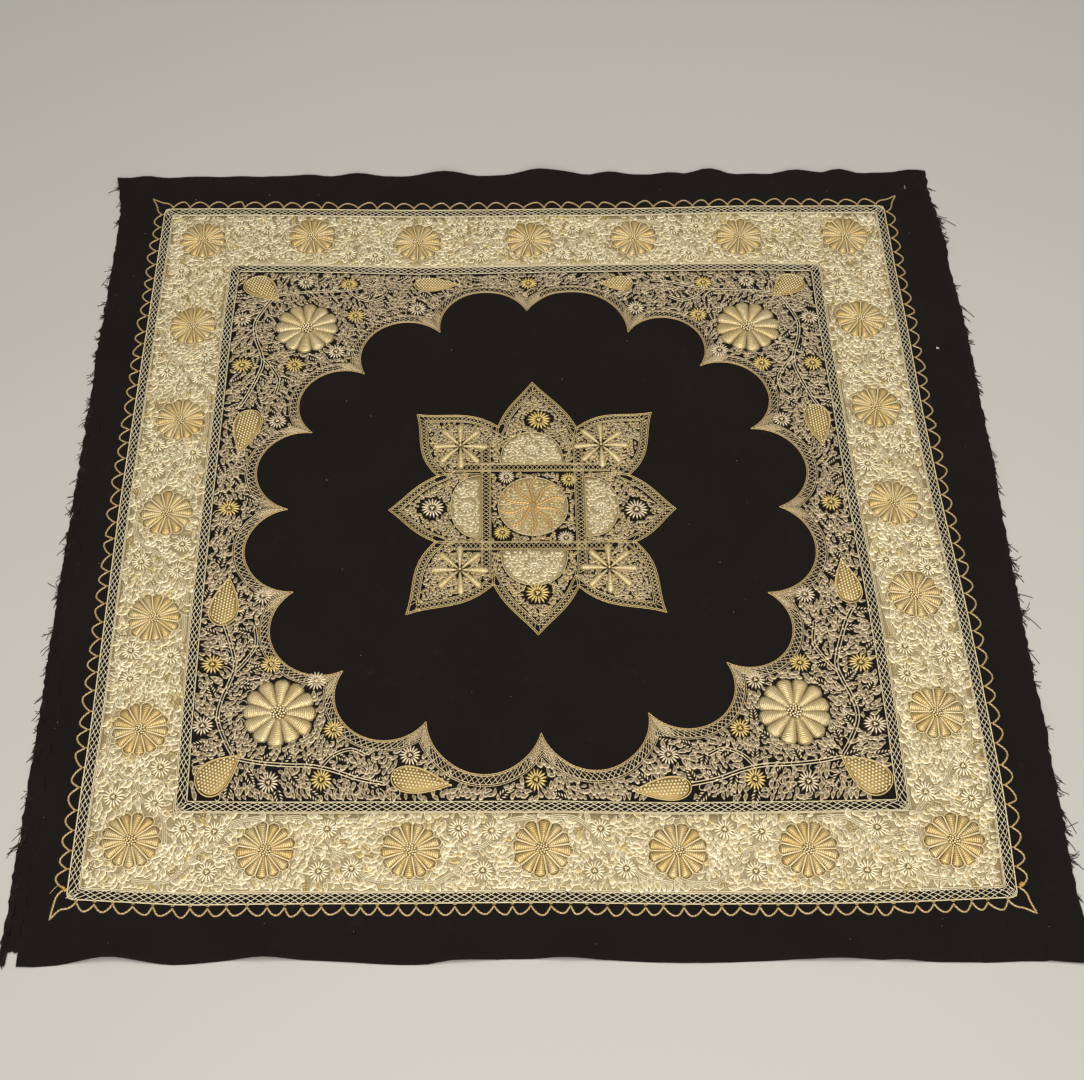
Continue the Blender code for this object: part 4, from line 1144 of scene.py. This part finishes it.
def bud_line(bud, share, steps=22):
    """The drop's outline at this share of its size, where the bud lies."""
    angles = 2 * math.pi * np.arange(steps) / steps
    x = bud.length / 2 * np.cos(angles) * share
    y = bud.width / 2 * BUD_FULLNESS * np.sin(angles) * np.abs(np.sin(angles / 2)) ** BUD_TAPER * share
    turn = math.radians(bud.points)
    return np.column_stack([bud.x + x * math.cos(turn) - y * math.sin(turn),
                            bud.y + x * math.sin(turn) + y * math.cos(turn)])


bud_points, bud_faces, bud_cords, bud_knots = [], [], [], Stitches()
rng = np.random.default_rng(77)
for bud in BUDS:
    first = len(bud_points)
    levels = ((1.0, 0.0), (0.93, 0.0016), (0.72, 0.0028), (0.40, 0.0034))
    for share, z in levels:
        bud_points += [(x, y, z) for x, y in bud_line(bud, share)]
    for level in range(len(levels) - 1):
        for i in range(22):
            j = (i + 1) % 22
            a, b = first + level * 22, first + (level + 1) * 22
            bud_faces.append((a + i, a + j, b + j, b + i))
    bud_faces.append(tuple(range(first + 66, first + 88)))
    bud_faces.append(tuple(range(first, first + 22))[::-1])
    bud_cords.append((np.column_stack([bud_line(bud, 1.03, 36), [0.0008] * 36]), 0.0012, 0.9, True))
    bud_cords.append((np.column_stack([bud_line(bud, 0.93, 36), [0.0020] * 36]), 0.0009, 1.0, True))
    turn = math.radians(bud.points)
    pitch = 0.0039
    for row in range(-9, 10):
        for column in range(-12, 13):
            lx, ly = column * pitch + (row % 2) * pitch / 2, row * pitch * 0.82
            if abs(lx) >= bud.length / 2:
                continue
            angle = math.acos(max(-1, min(1, lx / (bud.length / 2))))
            rim_y = bud.width / 2 * BUD_FULLNESS * math.sin(angle) * math.sin(angle / 2) ** BUD_TAPER
            if abs(ly) > rim_y * 0.86 - 0.0012:
                continue
            dome = 1 - max(abs(ly) / max(rim_y, 1e-6), abs(lx) / (bud.length / 2)) ** 2
            bud_knots.add(KNOT, bud.x + lx * math.cos(turn) - ly * math.sin(turn),
                          bud.y + lx * math.sin(turn) + ly * math.cos(turn), turn, 0.0031, 0.0024, 0.0016,
                          0.0022 + 0.0012 * dome, rng.uniform(0.1, 0.8), rng.uniform(0.6, 1))
    bud_knots.add(KNOT, bud.x + bud.length * 0.52 * math.cos(turn), bud.y + bud.length * 0.52 * math.sin(turn), 0,
                  0.0030, 0.0030, 0.0020, 0.0004, 1.2, 0.4)
bud_mesh = bpy.data.meshes.new("buds")
bud_mesh.from_pydata(bud_points, [], bud_faces)
laid(bud_mesh)
bud_mesh.shade_smooth()
bud_ground, plan = new_finish("brown_gold_ground")
place = plan.add("ShaderNodeTexCoord")["Object"]
chips = plan.noise(place, 800, 2.0, 0.6)
bump = plan.add("ShaderNodeBump", None, Strength=0.8, Distance=0.0005, Height=chips)
plan.finish(plan.add("ShaderNodeBsdfPrincipled", None, Metallic=0.5, Roughness=0.45, Normal=bump,
                     Base_Color=plan.mix(chips, (0.22, 0.145, 0.042), (0.38, 0.265, 0.090))))
finished("bud_padding", bud_mesh, bud_ground, "deep_gold_thread", *[f"bud_{n:02d}" for n in range(1, 13)])
bright_knots = metal_work("bright_gold_knots", (1.0, 0.90, 0.62), (0.95, 0.74, 0.34), (1.0, 0.88, 0.58),
                          (0.86, 0.64, 0.26), (0.55, 0.40, 0.18), metallic=0.5, roughness=0.34)
bud_knots.sewn("bud_knots", bright_knots, "deep_gold_thread")
couched("bud_cords", bud_cords, gold_cord, "deep_gold_thread", sides=5)

# ---------- Scalloped edging ----------
# The edge of the opening: two rows of copper-gold cord side by side along the scallops, crossing cream
# threads over bare wool behind them, and a double pale cord against the field.
CUSPS = ((-0.9, 0.3005), (22.3, 0.298), (44.1, 0.3075), (64.0, 0.3005), (90.0, 0.3095), (112.7, 0.2945),
         (136.0, 0.292), (158.1, 0.293), (181.2, 0.2945), (203.6, 0.307), (226.2, 0.3155), (247.1, 0.317),
         (270.9, 0.306), (294.0, 0.308), (315.0, 0.308), (335.3, 0.301))
LOBE_RISES = (0.053, 0.058, 0.056, 0.053, 0.052, 0.052, 0.051, 0.056, 0.057, 0.057, 0.057, 0.057, 0.058, 0.053,
              0.054, 0.052)
cusp_points = [np.array((radius * math.cos(math.radians(angle)), radius * math.sin(math.radians(angle))))
               for angle, radius in CUSPS]
lobes = []
for a, b, rise in zip(cusp_points, cusp_points[1:] + cusp_points[:1], LOBE_RISES):
    half_chord = np.linalg.norm(b - a) / 2
    radius = (half_chord ** 2 + rise ** 2) / (2 * rise)
    outward = np.array((b[1] - a[1], a[0] - b[0])) / (2 * half_chord)
    lobes.append(((a + b) / 2 + outward * (rise - radius), radius))


def crossing_of(one, other):
    """Where two lobes' circles meet, on the side away from the panel's middle."""
    (p, r), (q, s) = one, other
    apart = np.linalg.norm(q - p)
    along = (apart ** 2 + r ** 2 - s ** 2) / (2 * apart)
    across_it = math.sqrt(max(r ** 2 - along ** 2, 0))
    direction = (q - p) / apart
    side = np.array((direction[1], -direction[0]))
    return max((p + direction * along + side * across_it * sign for sign in (1, -1)), key=np.linalg.norm)


def lobe_arcs(offset, steps):
    """For each lobe, moved outwards by this much: its points from cusp to cusp."""
    circles = [(mid, radius + offset) for mid, radius in lobes]
    corners = [crossing_of(circles[i - 1], circles[i]) for i in range(len(circles))]
    arcs = []
    for i, (mid, radius) in enumerate(circles):
        first, last = corners[i] - mid, corners[(i + 1) % len(corners)] - mid
        start = math.atan2(first[1], first[0])
        sweep = (math.atan2(last[1], last[0]) - start) % (2 * math.pi)
        angles = start + sweep * np.linspace(0, 1, steps + 1)
        arcs.append(np.column_stack([mid[0] + radius * np.cos(angles), mid[1] + radius * np.sin(angles)]))
    return arcs


def with_height(line, z):
    return np.column_stack([line, np.full(len(line), z)])


edging_cords = []
for offset, z, width, share in ((0.0007, 0.0008, 0.0014, 0.8), (0.0023, 0.0009, 0.0011, 0.3),
                                (0.0112, 0.0007, 0.0010, 0.1), (0.0131, 0.0007, 0.0009, 0.4)):
    for arc in lobe_arcs(offset, 26):
        edging_cords.append((with_height(arc, z), width, share, False))
rng = np.random.default_rng(88)
for offset in (0.0036, 0.0050, 0.0064, 0.0078, 0.0092):
    for arc in lobe_arcs(offset, 60):
        for end in (arc[:9], arc[-9:]):
            edging_cords.append((with_height(end, 0.0008), 0.0010, rng.uniform(0, 0.7), False))
for inner_arc, outer_arc in zip(lobe_arcs(0.0028, 240), lobe_arcs(0.0110, 240)):
    spacing = np.linalg.norm(np.diff(outer_arc, axis=0), axis=1).mean()
    stride, lean = round(0.0066 / spacing), round(0.0074 / spacing)
    for start in range(0, 240, stride):
        for heading in (1, -1):
            end = start + heading * lean
            if not 0 <= end <= 240:
                continue
            a, b = inner_arc[start], outer_arc[end]
            middle = (a + b) / 2 + rng.normal(0, 0.0003, 2)
            way = np.array([(*a, 0.0006), (*middle, 0.0013 if heading > 0 else 0.0008), (*b, 0.0006)])
            edging_cords.append((way, 0.0008, rng.uniform(0, 0.35), False))
edging_cord = twisted("edging_cord", (1.0, 0.86, 0.56), (0.66, 0.43, 0.14), lay=0.0078, metallic=0.30, groove_shade=0.70)
couched("scalloped_edging_cords", edging_cords, edging_cord, "copper_gold_cord", "scalloped_edging", sides=5)

# ---------- Flower field ----------
# Between the border's inner lattice and the scallops: silver-grey leaves and feathered sprays with the black
# wool showing between them, twin stems from bud to bud, and daisies of thick silver or gold bars.
FIELD_HALF = 0.384
field_line = np.concatenate([arc[:-1] for arc in lobe_arcs(0.0145, 16)])


def inside_line(line, x, y):
    """Which of these places are inside a closed line."""
    x, y = np.asarray(x), np.asarray(y)
    inside = np.zeros(x.shape, bool)
    ends = np.roll(line, -1, axis=0)
    for (x0, y0), (x1, y1) in zip(line[:, :2], ends[:, :2]):
        if y0 == y1:
            continue
        crosses = ((y0 > y) != (y1 > y)) & (x < (x1 - x0) * (y - y0) / (y1 - y0) + x0)
        inside ^= crosses
    return inside


def in_field(x, y):
    free = (np.maximum(np.abs(x), np.abs(y)) < FIELD_HALF - 0.0025) & ~inside_line(field_line, x, y)
    for bud in BUDS:
        free &= ~inside_line(bud_line(bud, 1.13), x, y)
    return free


STEM_ALONG = ((0.337, -0.338), (0.311, -0.343), (0.278, -0.346), (0.250, -0.347), (0.225, -0.352), (0.196, -0.361),
              (0.168, -0.366))
STEM_UP = ((0.337, -0.336), (0.347, -0.318), (0.357, -0.291), (0.355, -0.266), (0.347, -0.240), (0.344, -0.221),
           (0.350, -0.195), (0.360, -0.165), (0.368, -0.148))
STEM_SHORT = ((0.345, -0.232), (0.332, -0.215), (0.322, -0.195), (0.325, -0.172))
STEM_INNER = ((0.240, -0.349), (0.226, -0.335), (0.207, -0.328), (0.190, -0.335))
field_stems = []
for flip_x in (1, -1):
    for flip_y in (1, -1):
        for line in (STEM_ALONG, STEM_UP, STEM_SHORT, STEM_INNER):
            way = np.array(line) * (flip_x, -flip_y)
            field_stems.append(smooth_line(np.column_stack([way, [0.0008] * len(way)]), 8))
SILVER_DAISIES = ((0.296, 0.364), (0.373, 0.298), (0.250, 0.242), (0.319, 0.129))
GOLD_DAISIES = ((0.238, 0.361), (0.368, 0.220), (0.227, 0.303), (0.303, 0.220))
field_daisies = [(sx * x, sy * y, gold) for places, gold in ((SILVER_DAISIES, 0.0), (GOLD_DAISIES, 1.0))
                 for x, y in places for sx in (1, -1) for sy in (1, -1)]
field_daisies += [(0.145, 0.315, 0.0), (-0.145, 0.315, 0.0), (-0.141, -0.335, 0.0), (0.145, -0.335, 0.0)]
field_daisies += [(0.003, 0.362, 1.0), (-0.002, -0.362, 1.0), (0.364, 0.002, 1.0), (-0.366, -0.004, 1.0)]
rng = np.random.default_rng(99)
vines = Vines(field_stems)
blocked = [(x, y, 0.0136) for x, y, _ in field_daisies] + [(x, y, 0.0420) for x, y in corner_places]
spray_places = spread_out(in_field, FIELD_HALF, 0.027, [(x, y, r + 0.004) for x, y, r in blocked], rng)
blocked += [(x, y, 0.0068) for x, y in spray_places]
tendril_places = spread_out(in_field, FIELD_HALF, 0.0150, blocked, rng)
leaf_places = spread_out(in_field, FIELD_HALF, 0.0060, blocked, rng)
silver_work = metal_work("silver_grey_work", (0.80, 0.66, 0.45), (0.78, 0.57, 0.19), (0.20, 0.15, 0.092),
                         (0.42, 0.29, 0.09), (0.045, 0.028, 0.012), metallic=0.25, roughness=0.42, chip=760)
sides = [Stitches() for _ in range(4)]
for x, y in leaf_places:
    heading, side, gap = vines.beside(x, y)
    if gap < 0.0040:
        continue
    turn = heading + side * rng.normal(0.8, 0.5)
    scale = rng.uniform(0.70, 1.20)
    sides[side_of(x, y)].add(rng.choice((LEAF, HOOKED, HOOKED_BACK)), x, y, turn, 0.0106 * scale, 0.0052 * scale,
                             0.0012 * rng.uniform(0.7, 1.3), 0.0, rng.uniform(0, 0.25), rng.uniform(0.0, 1))
for x, y in spray_places:
    heading, side, gap = vines.beside(x, y)
    sides[side_of(x, y)].spray(x, y, heading + side * rng.normal(0.9, 0.3), 0.021, 6, rng, rng.uniform(0, 0.15), 0.0017)
for x, y, gold in field_daisies:
    sides[side_of(x, y)].daisy(x, y, 0.0138, 16, rng, gold, THICK_BAR, 0.0017, 0.0, 0.14)
for number, (name, stitches) in enumerate(zip(("front", "right", "back", "left"), sides)):
    stitches.sewn(f"field_leaves_{name}", silver_work, "silver_grey_thread", *(("flower_field",) if number == 0 else ()))
silver_cord = twisted("silver_grey_cord", (0.94, 0.81, 0.56), (0.72, 0.54, 0.25), lay=0.0026, metallic=0.25)
stem_lines = [(offset_line(stem, distance) + (0, 0, 0.0004), 0.0012, rng.uniform(0, 0.4), False)
              for stem in field_stems for distance in (-0.0015, 0.0015)]
stem_lines += scrolls(tendril_places, vines, 0.014, 0.0008, 0.0012, rng)
couched("field_stems", stem_lines, silver_cord, "silver_grey_thread", sides=4)

# ---------- Star ----------
# Eight pointed leaves about the middle, edged with gold cord and a narrow lattice, filled with small scrolls
# on bare wool. A flower of eight narrow padded petals lies on each diagonal leaf and a daisy on the others.
STAR_MID = (0.002, -0.003)
STAR_TIPS = ((0.1770, -0.0070), (0.1560, 0.1410), (0.0046, 0.1906), (-0.1430, 0.1390),
             (-0.1750, -0.0080), (-0.1510, -0.1560), (0.0046, -0.1840), (0.1560, -0.1540))
STAR_NOTCHES = ((0.1230, 0.0436), (0.0597, 0.1179), (-0.0400, 0.1200), (-0.1163, 0.0429),
                (-0.1179, -0.0543), (-0.0474, -0.1156), (0.0540, -0.1190), (0.1255, -0.0550))
CARDINAL_BELLY, DIAGONAL_BELLY = 0.0032, 0.0080
star_mid = np.array(STAR_MID)


def star_side(notch, tip, belly, steps=10):
    """One side of a leaf, full near the notch and lean at the tip."""
    notch, tip = np.array(notch), np.array(tip)
    chord = tip - notch
    normal = np.array((-chord[1], chord[0])) / np.linalg.norm(chord)
    outward = (tip - star_mid) / np.linalg.norm(tip - star_mid)
    from_axis = notch - star_mid - outward * np.dot(notch - star_mid, outward)
    if np.dot(normal, from_axis) < 0:
        normal = -normal
    shares = np.linspace(0, 1, steps + 1)[:, None]
    return notch + chord * shares + normal * 2 * belly * np.sin(math.pi * shares) * (1 - shares)


def leaf_line(i, steps=10):
    """Both sides of one leaf of the star, from notch to tip to notch."""
    belly = DIAGONAL_BELLY if i % 2 else CARDINAL_BELLY
    rising = star_side(STAR_NOTCHES[i - 1], STAR_TIPS[i], belly, steps)
    falling = star_side(STAR_NOTCHES[i], STAR_TIPS[i], belly, steps)[::-1]
    return np.concatenate([rising, falling[1:]])


def inset(line, distance):
    """A closed line moved inwards by this much, mitred at its corners."""
    before, after = np.roll(line, 1, axis=0), np.roll(line, -1, axis=0)
    ahead = (after - line) / np.maximum(np.linalg.norm(after - line, axis=1, keepdims=True), 1e-9)
    behind = (line - before) / np.maximum(np.linalg.norm(line - before, axis=1, keepdims=True), 1e-9)
    normals = np.column_stack([-(ahead + behind)[:, 1], (ahead + behind)[:, 0]])
    normals /= np.maximum(np.linalg.norm(normals, axis=1, keepdims=True), 1e-9)
    mitre = 1 / np.clip((normals * np.column_stack([-ahead[:, 1], ahead[:, 0]])).sum(axis=1), 0.42, 1)
    return line + normals * distance * mitre[:, None]


star_line = np.concatenate([leaf_line(i)[:-1] for i in range(8)])
side_points = len(leaf_line(0)) // 2
dense = np.concatenate([leaf_line(i, 80)[:-1] for i in range(8)])
star_cords = []
for distance, z, width, share in ((0.0006, 0.0009, 0.0012, 0.8), (0.0024, 0.0009, 0.0009, 0.2),
                                  (0.0090, 0.0008, 0.0009, 0.3), (0.0108, 0.0008, 0.0009, 0.1)):
    edge = inset(star_line, distance)
    for first in range(0, len(edge), side_points):
        side = [edge[k % len(edge)] for k in range(first, first + side_points + 1)]
        kept = [side[0]] + [point for point in side[1:-1]
                            if np.hypot(*(dense - point).T).min() > distance * 0.93] + [side[-1]]
        star_cords.append((with_height(np.array(kept), z), width, share, False))
inner_edge, outer_edge = inset(dense, 0.0088), inset(dense, 0.0026)
spacing = np.linalg.norm(np.diff(dense, axis=0), axis=1)
travel = np.concatenate([[0], np.cumsum(spacing)])
rng = np.random.default_rng(121)
for at in np.arange(0, travel[-1] - 0.004, 0.0054):
    for lean in (0.0054, -0.0054):
        a = int(np.searchsorted(travel, at)) % len(dense)
        b = int(np.searchsorted(travel, (at + lean) % travel[-1])) % len(dense)
        way = [(*outer_edge[a], 0.0005), (*((outer_edge[a] + inner_edge[b]) / 2), 0.0011), (*inner_edge[b], 0.0005)]
        inside_tip = np.hypot(*(dense - inner_edge[b]).T).min() > 0.0083
        if inside_tip and np.linalg.norm(outer_edge[a] - inner_edge[b]) < 0.012:
            star_cords.append((way, 0.0007, rng.uniform(0.0, 0.5), False))
Moon = namedtuple("Moon", "name faces chord depth foot")
MOONS = (Moon("right", 0, 0.088, 0.040, 0.0645), Moon("back", 90, 0.078, 0.048, 0.0645),
         Moon("left", 180, 0.091, 0.036, 0.0645), Moon("front", 270, 0.080, 0.048, 0.0645))


def moon_points(moon, local):
    """Places given across and out from a half moon's flat side, where it lies on the star."""
    away = math.radians(moon.faces)
    local = np.asarray(local, float)
    x = star_mid[0] + (moon.foot + local[:, 1]) * math.cos(away) + local[:, 0] * math.sin(away)
    y = star_mid[1] + (moon.foot + local[:, 1]) * math.sin(away) - local[:, 0] * math.cos(away)
    return np.column_stack([x, y])


def moon_outline(moon, steps):
    """The half moon's rim, across and out from the middle of its flat side."""
    angles = np.linspace(0, math.pi, steps)
    return np.column_stack([moon.chord / 2 * np.cos(angles), moon.depth * np.sin(angles) ** 0.8])


for i, notch in enumerate(STAR_NOTCHES):
    moon = MOONS[((i + 1) // 2) % 4]
    ends = moon_points(moon, [(moon.chord / 2 + 0.002, 0.0), (-moon.chord / 2 - 0.002, 0.0)])
    end = min(ends, key=lambda point: np.linalg.norm(point - np.array(notch)))
    notch = np.array(notch)
    bowed = (notch + end) / 2 + (np.array(notch) - star_mid) * 0.05
    way = smooth_line(np.array([notch, bowed, end]), 5)
    for distance in (-0.0012, 0.0012):
        star_cords.append((with_height(offset_line(way, distance), 0.0011), 0.0009, 0.4, False))
star_cord = twisted("star_gold_cord", (1.0, 0.84, 0.48), (0.70, 0.48, 0.15), lay=0.0070, metallic=0.30, groove_shade=0.40)
couched("star_edging", star_cords, star_cord, "copper_gold_cord", sides=4)

star_inner = inset(star_line, 0.0125)
DIAGONAL_FLOWERS = ((0.089, 0.089), (-0.087, 0.088), (-0.087, -0.094), (0.091, -0.092))
STAR_DAISIES = ((-0.121, -0.005, 0.0165, 0.0), (0.128, -0.008, 0.0165, 0.0), (0.012, 0.129, 0.0165, 1.0),
                (0.005, -0.126, 0.0165, 1.0), (-0.030, 0.041, 0.0120, 0.0), (0.047, 0.037, 0.0120, 1.0),
                (-0.036, -0.041, 0.0120, 1.0), (0.041, -0.049, 0.0120, 0.0))


def in_star(x, y):
    across_it, up_it = np.abs(x - star_mid[0]), np.abs(y - star_mid[1])
    square_reach = np.maximum(across_it, up_it)
    on_band = (np.abs(square_reach - 0.0575) < 0.0078) | ((np.minimum(np.abs(across_it - 0.0575), np.abs(up_it - 0.0575)) < 0.0075)
                                                          & (square_reach < 0.097) & (square_reach > 0.05))
    free = inside_line(star_inner, x, y) & ~on_band
    for moon in MOONS:
        free &= ~inside_line(moon_points(moon, moon_outline(moon, 18) * 1.07 - (0, 0.002)), x, y)
    return free


blocked = [(x, y, 0.0135 if r < 0.014 else 0.0175) for x, y, r, _ in STAR_DAISIES]
blocked += [(*STAR_MID, 0.0450)]
star_work = Stitches()
for x, y in spread_out(in_star, 0.19, 0.0044, blocked, rng):
    over_flower = min(math.hypot(x - fx, y - fy) for fx, fy in DIAGONAL_FLOWERS) < 0.010
    if over_flower:
        continue
    scale = rng.uniform(0.8, 1.2)
    star_work.add(rng.choice((LEAF, HOOKED, HOOKED_BACK)), x, y, rng.uniform(0, 2 * math.pi), 0.0072 * scale,
                  0.0038 * scale, 0.0010, 0.0, rng.uniform(0.0, 0.7), rng.uniform(0.3, 1))
for x, y, radius, gold in STAR_DAISIES:
    star_work.daisy(x, y, radius, 17, rng, gold, THICK_BAR, 0.0018, 0.0002, 0.14)
star_work.sewn("star_scrolls", silver_work, "silver_grey_thread", "star_field")
diagonal_work = Stitches()
for x, y in DIAGONAL_FLOWERS:
    for k in range(8):
        angle = 2 * math.pi * k / 8 + rng.normal(0, 0.03)
        diagonal_work.add(SATIN, x + 0.002 * math.cos(angle), y + 0.002 * math.sin(angle), angle, 0.034, 0.0098, 0.0034,
                          0.0006, rng.uniform(0.0, 0.6), rng.uniform(0.6, 1))
    diagonal_work.add(KNOT, x, y, 0, 0.004, 0.004, 0.003, 0.002, 1.0, 0.5)
stuffed_work = metal_work("stuffed_gold_work", (0.96, 0.84, 0.52), (0.88, 0.68, 0.31), (0.72, 0.58, 0.30),
                          (0.62, 0.46, 0.18), (0.28, 0.195, 0.075), metallic=0.40, roughness=0.38, ribs=17,
                          rib_shading=0.42, chip=700)
diagonal_work.sewn("star_flowers", stuffed_work, "pale_gold_thread")

# ---------- Lattice square on the star ----------
# Four narrow bands of tightly crossed gold thread that cross like a hash about the middle flower, each
# between two cords.
SQUARE_MID, SQUARE_WIDTH, SQUARE_REACH = 0.0575, 0.0120, 0.0960
square_cords = []
for quarter in range(4):
    for edge in (-0.0058, -0.0043, 0.0043, 0.0058):
        line = [(x, -SQUARE_MID + edge, 0.0022) for x in np.linspace(-SQUARE_REACH, SQUARE_REACH, 13)]
        square_cords.append((turn_about(line, quarter), 0.0008, rng.uniform(0.1, 0.5), False))
    for start in np.arange(-SQUARE_REACH, SQUARE_REACH - 0.006, 0.0058):
        for x0, x1, z in ((start, start + 0.0058, 0.0024), (start + 0.0058, start, 0.0019)):
            line = [(x0, -SQUARE_MID - 0.0040, 0.0017), ((x0 + x1) / 2, -SQUARE_MID, z), (x1, -SQUARE_MID + 0.0040, 0.0017)]
            square_cords.append((turn_about(line, quarter), 0.0007, rng.uniform(0.0, 0.4), False))
square_cords = [(np.asarray(line) + (*STAR_MID, 0), width, share, closed) for line, width, share, closed in square_cords]
couched("star_square_threads", square_cords, star_cord, "copper_gold_cord", "star_square", sides=4)

# ---------- Half moons ----------
# Four half rounds standing on the square's sides, stuffed and covered with small cream loops about a daisy.
moon_points_all, moon_faces, moon_work, moon_cords = [], [], Stitches(), []
MOON_STEPS = 18
for moon in MOONS:
    outline = moon_outline(moon, MOON_STEPS)
    middle = np.array((0, moon.depth * 0.42))
    first = len(moon_points_all)
    levels = ((1.0, 0.0), (0.94, 0.0012), (0.72, 0.0018))
    for share, z in levels:
        ring = moon_points(moon, middle + (outline - middle) * share)
        moon_points_all += [(x, y, z) for x, y in ring]
    for level in range(2):
        for i in range(MOON_STEPS):
            j = (i + 1) % MOON_STEPS
            a, b = first + level * MOON_STEPS, first + (level + 1) * MOON_STEPS
            moon_faces.append((a + i, a + j, b + j, b + i))
    moon_faces.append(tuple(range(first + 2 * MOON_STEPS, first + 3 * MOON_STEPS)))
    moon_faces.append(tuple(range(first, first + MOON_STEPS))[::-1])
    closed_outline = moon_points(moon, outline)
    moon_cords.append((with_height(closed_outline, 0.0010), 0.0013, 0.3, True))

    def in_moon(x, y, moon=moon, rim=moon_points(moon, middle + (outline - middle) * 0.90)):
        return inside_line(rim, x, y)

    centre = moon_points(moon, [(0, moon.depth * 0.46)])[0]
    for x, y in spread_out(in_moon, 0.12, 0.0052, [(*centre, 0.0112)], rng):
        scale = rng.uniform(0.8, 1.2)
        moon_work.add(rng.choice((LEAF, HOOKED, LOOP)), x, y, rng.uniform(0, 2 * math.pi), 0.0074 * scale,
                      0.0044 * scale, 0.0011, 0.0014, rng.uniform(0, 0.35), rng.uniform(0.2, 1))
    moon_work.daisy(*centre, 0.0112, 13, rng, 0.0, LOOP, 0.0013, 0.0016, 0.14)
moon_mesh = bpy.data.meshes.new("half_moons")
moon_mesh.from_pydata(moon_points_all, [], moon_faces)
laid(moon_mesh)
moon_mesh.shade_smooth()
# The padding wears the same dark olive ground, painted shade between the loops.
finished("half_moon_padding", moon_mesh, ground_finish, "pale_gold_thread", *[f"half_moon_{moon.name}" for moon in MOONS])
moon_work.sewn("half_moon_loops", pale_gold_work, "pale_gold_thread")
couched("half_moon_cords", moon_cords, star_cord, "pale_gold_thread", sides=4)

# ---------- Centre round ----------
# The middle flower: ten curved ridges of brown-gold thread turning about a knot, on a stuffed round of cream
# loops, edged with a cord.
CENTRE_RADIUS, CENTRE_PETALS = 0.0430, 10
dome_steps = 40
centre_points, centre_faces = [], []
levels = ((1.0, 0.0), (0.96, 0.0012), (0.70, 0.0020), (0.30, 0.0022))
for share, z in levels:
    for k in range(dome_steps):
        angle = 2 * math.pi * k / dome_steps
        centre_points.append((STAR_MID[0] + CENTRE_RADIUS * share * math.cos(angle),
                              STAR_MID[1] + CENTRE_RADIUS * share * math.sin(angle), z))
for level in range(len(levels) - 1):
    for i in range(dome_steps):
        j = (i + 1) % dome_steps
        a, b = level * dome_steps, (level + 1) * dome_steps
        centre_faces.append((a + i, a + j, b + j, b + i))
centre_faces.append(tuple(range(3 * dome_steps, 4 * dome_steps)))
centre_faces.append(tuple(range(dome_steps))[::-1])
centre_mesh = bpy.data.meshes.new("centre_round")
centre_mesh.from_pydata(centre_points, [], centre_faces)
laid(centre_mesh)
centre_mesh.shade_smooth()
# The padding wears the same dark olive ground, painted shade between the loops and ridges.
finished("centre_padding", centre_mesh, ground_finish, "pale_gold_thread", "centre_round")
centre_loops, centre_ridges = Stitches(), []


def in_centre(x, y):
    return np.hypot(x - STAR_MID[0], y - STAR_MID[1]) < CENTRE_RADIUS - 0.003


ridge_ways = []
for k in range(CENTRE_PETALS):
    start = 2 * math.pi * k / CENTRE_PETALS
    radii = np.linspace(0.004, CENTRE_RADIUS * 0.93, 9)
    angles = start + 0.42 * np.sin(math.pi * radii / CENTRE_RADIUS * 0.9)
    way = np.column_stack([STAR_MID[0] + radii * np.cos(angles), STAR_MID[1] + radii * np.sin(angles), np.full(9, 0.0030)])
    ridge_ways.append(way)
    for distance, width, share in ((0.0, 0.0050, 1.0), (0.0030, 0.0010, 0.0), (-0.0030, 0.0010, 0.0)):
        centre_ridges.append((offset_line(way, distance), width, share, False))
rim = [(STAR_MID[0] + 0.0425 * math.cos(a), STAR_MID[1] + 0.0425 * math.sin(a), 0.0014)
       for a in 2 * math.pi * np.arange(40) / 40]
centre_ridges.append((rim, 0.0015, 0.3, True))
vines = Vines(ridge_ways)
for x, y in spread_out(in_centre, 0.05, 0.0052, [], rng):
    heading, side, gap = vines.beside(x, y)
    if gap < 0.0030:
        continue
    scale = rng.uniform(0.8, 1.2)
    centre_loops.add(rng.choice((LEAF, HOOKED, LOOP)), x, y, heading + side * rng.normal(0.9, 0.3), 0.0072 * scale,
                     0.0044 * scale, 0.0011, 0.0016, rng.uniform(0.5, 1.0), rng.uniform(0.0, 0.9))
centre_loops.sewn("centre_loops", pale_gold_work, "pale_gold_thread")
couched("centre_ridges", centre_ridges, edging_cord, "pale_gold_thread", sides=6)

# ---------- Stitch shapes ---
# The shapes the stitches were made from are removed.
for shape in list(stitch_shapes.objects):
    bpy.data.objects.remove(shape, do_unlink=True)
bpy.data.collections.remove(stitch_shapes)
bpy.context.view_layer.update()
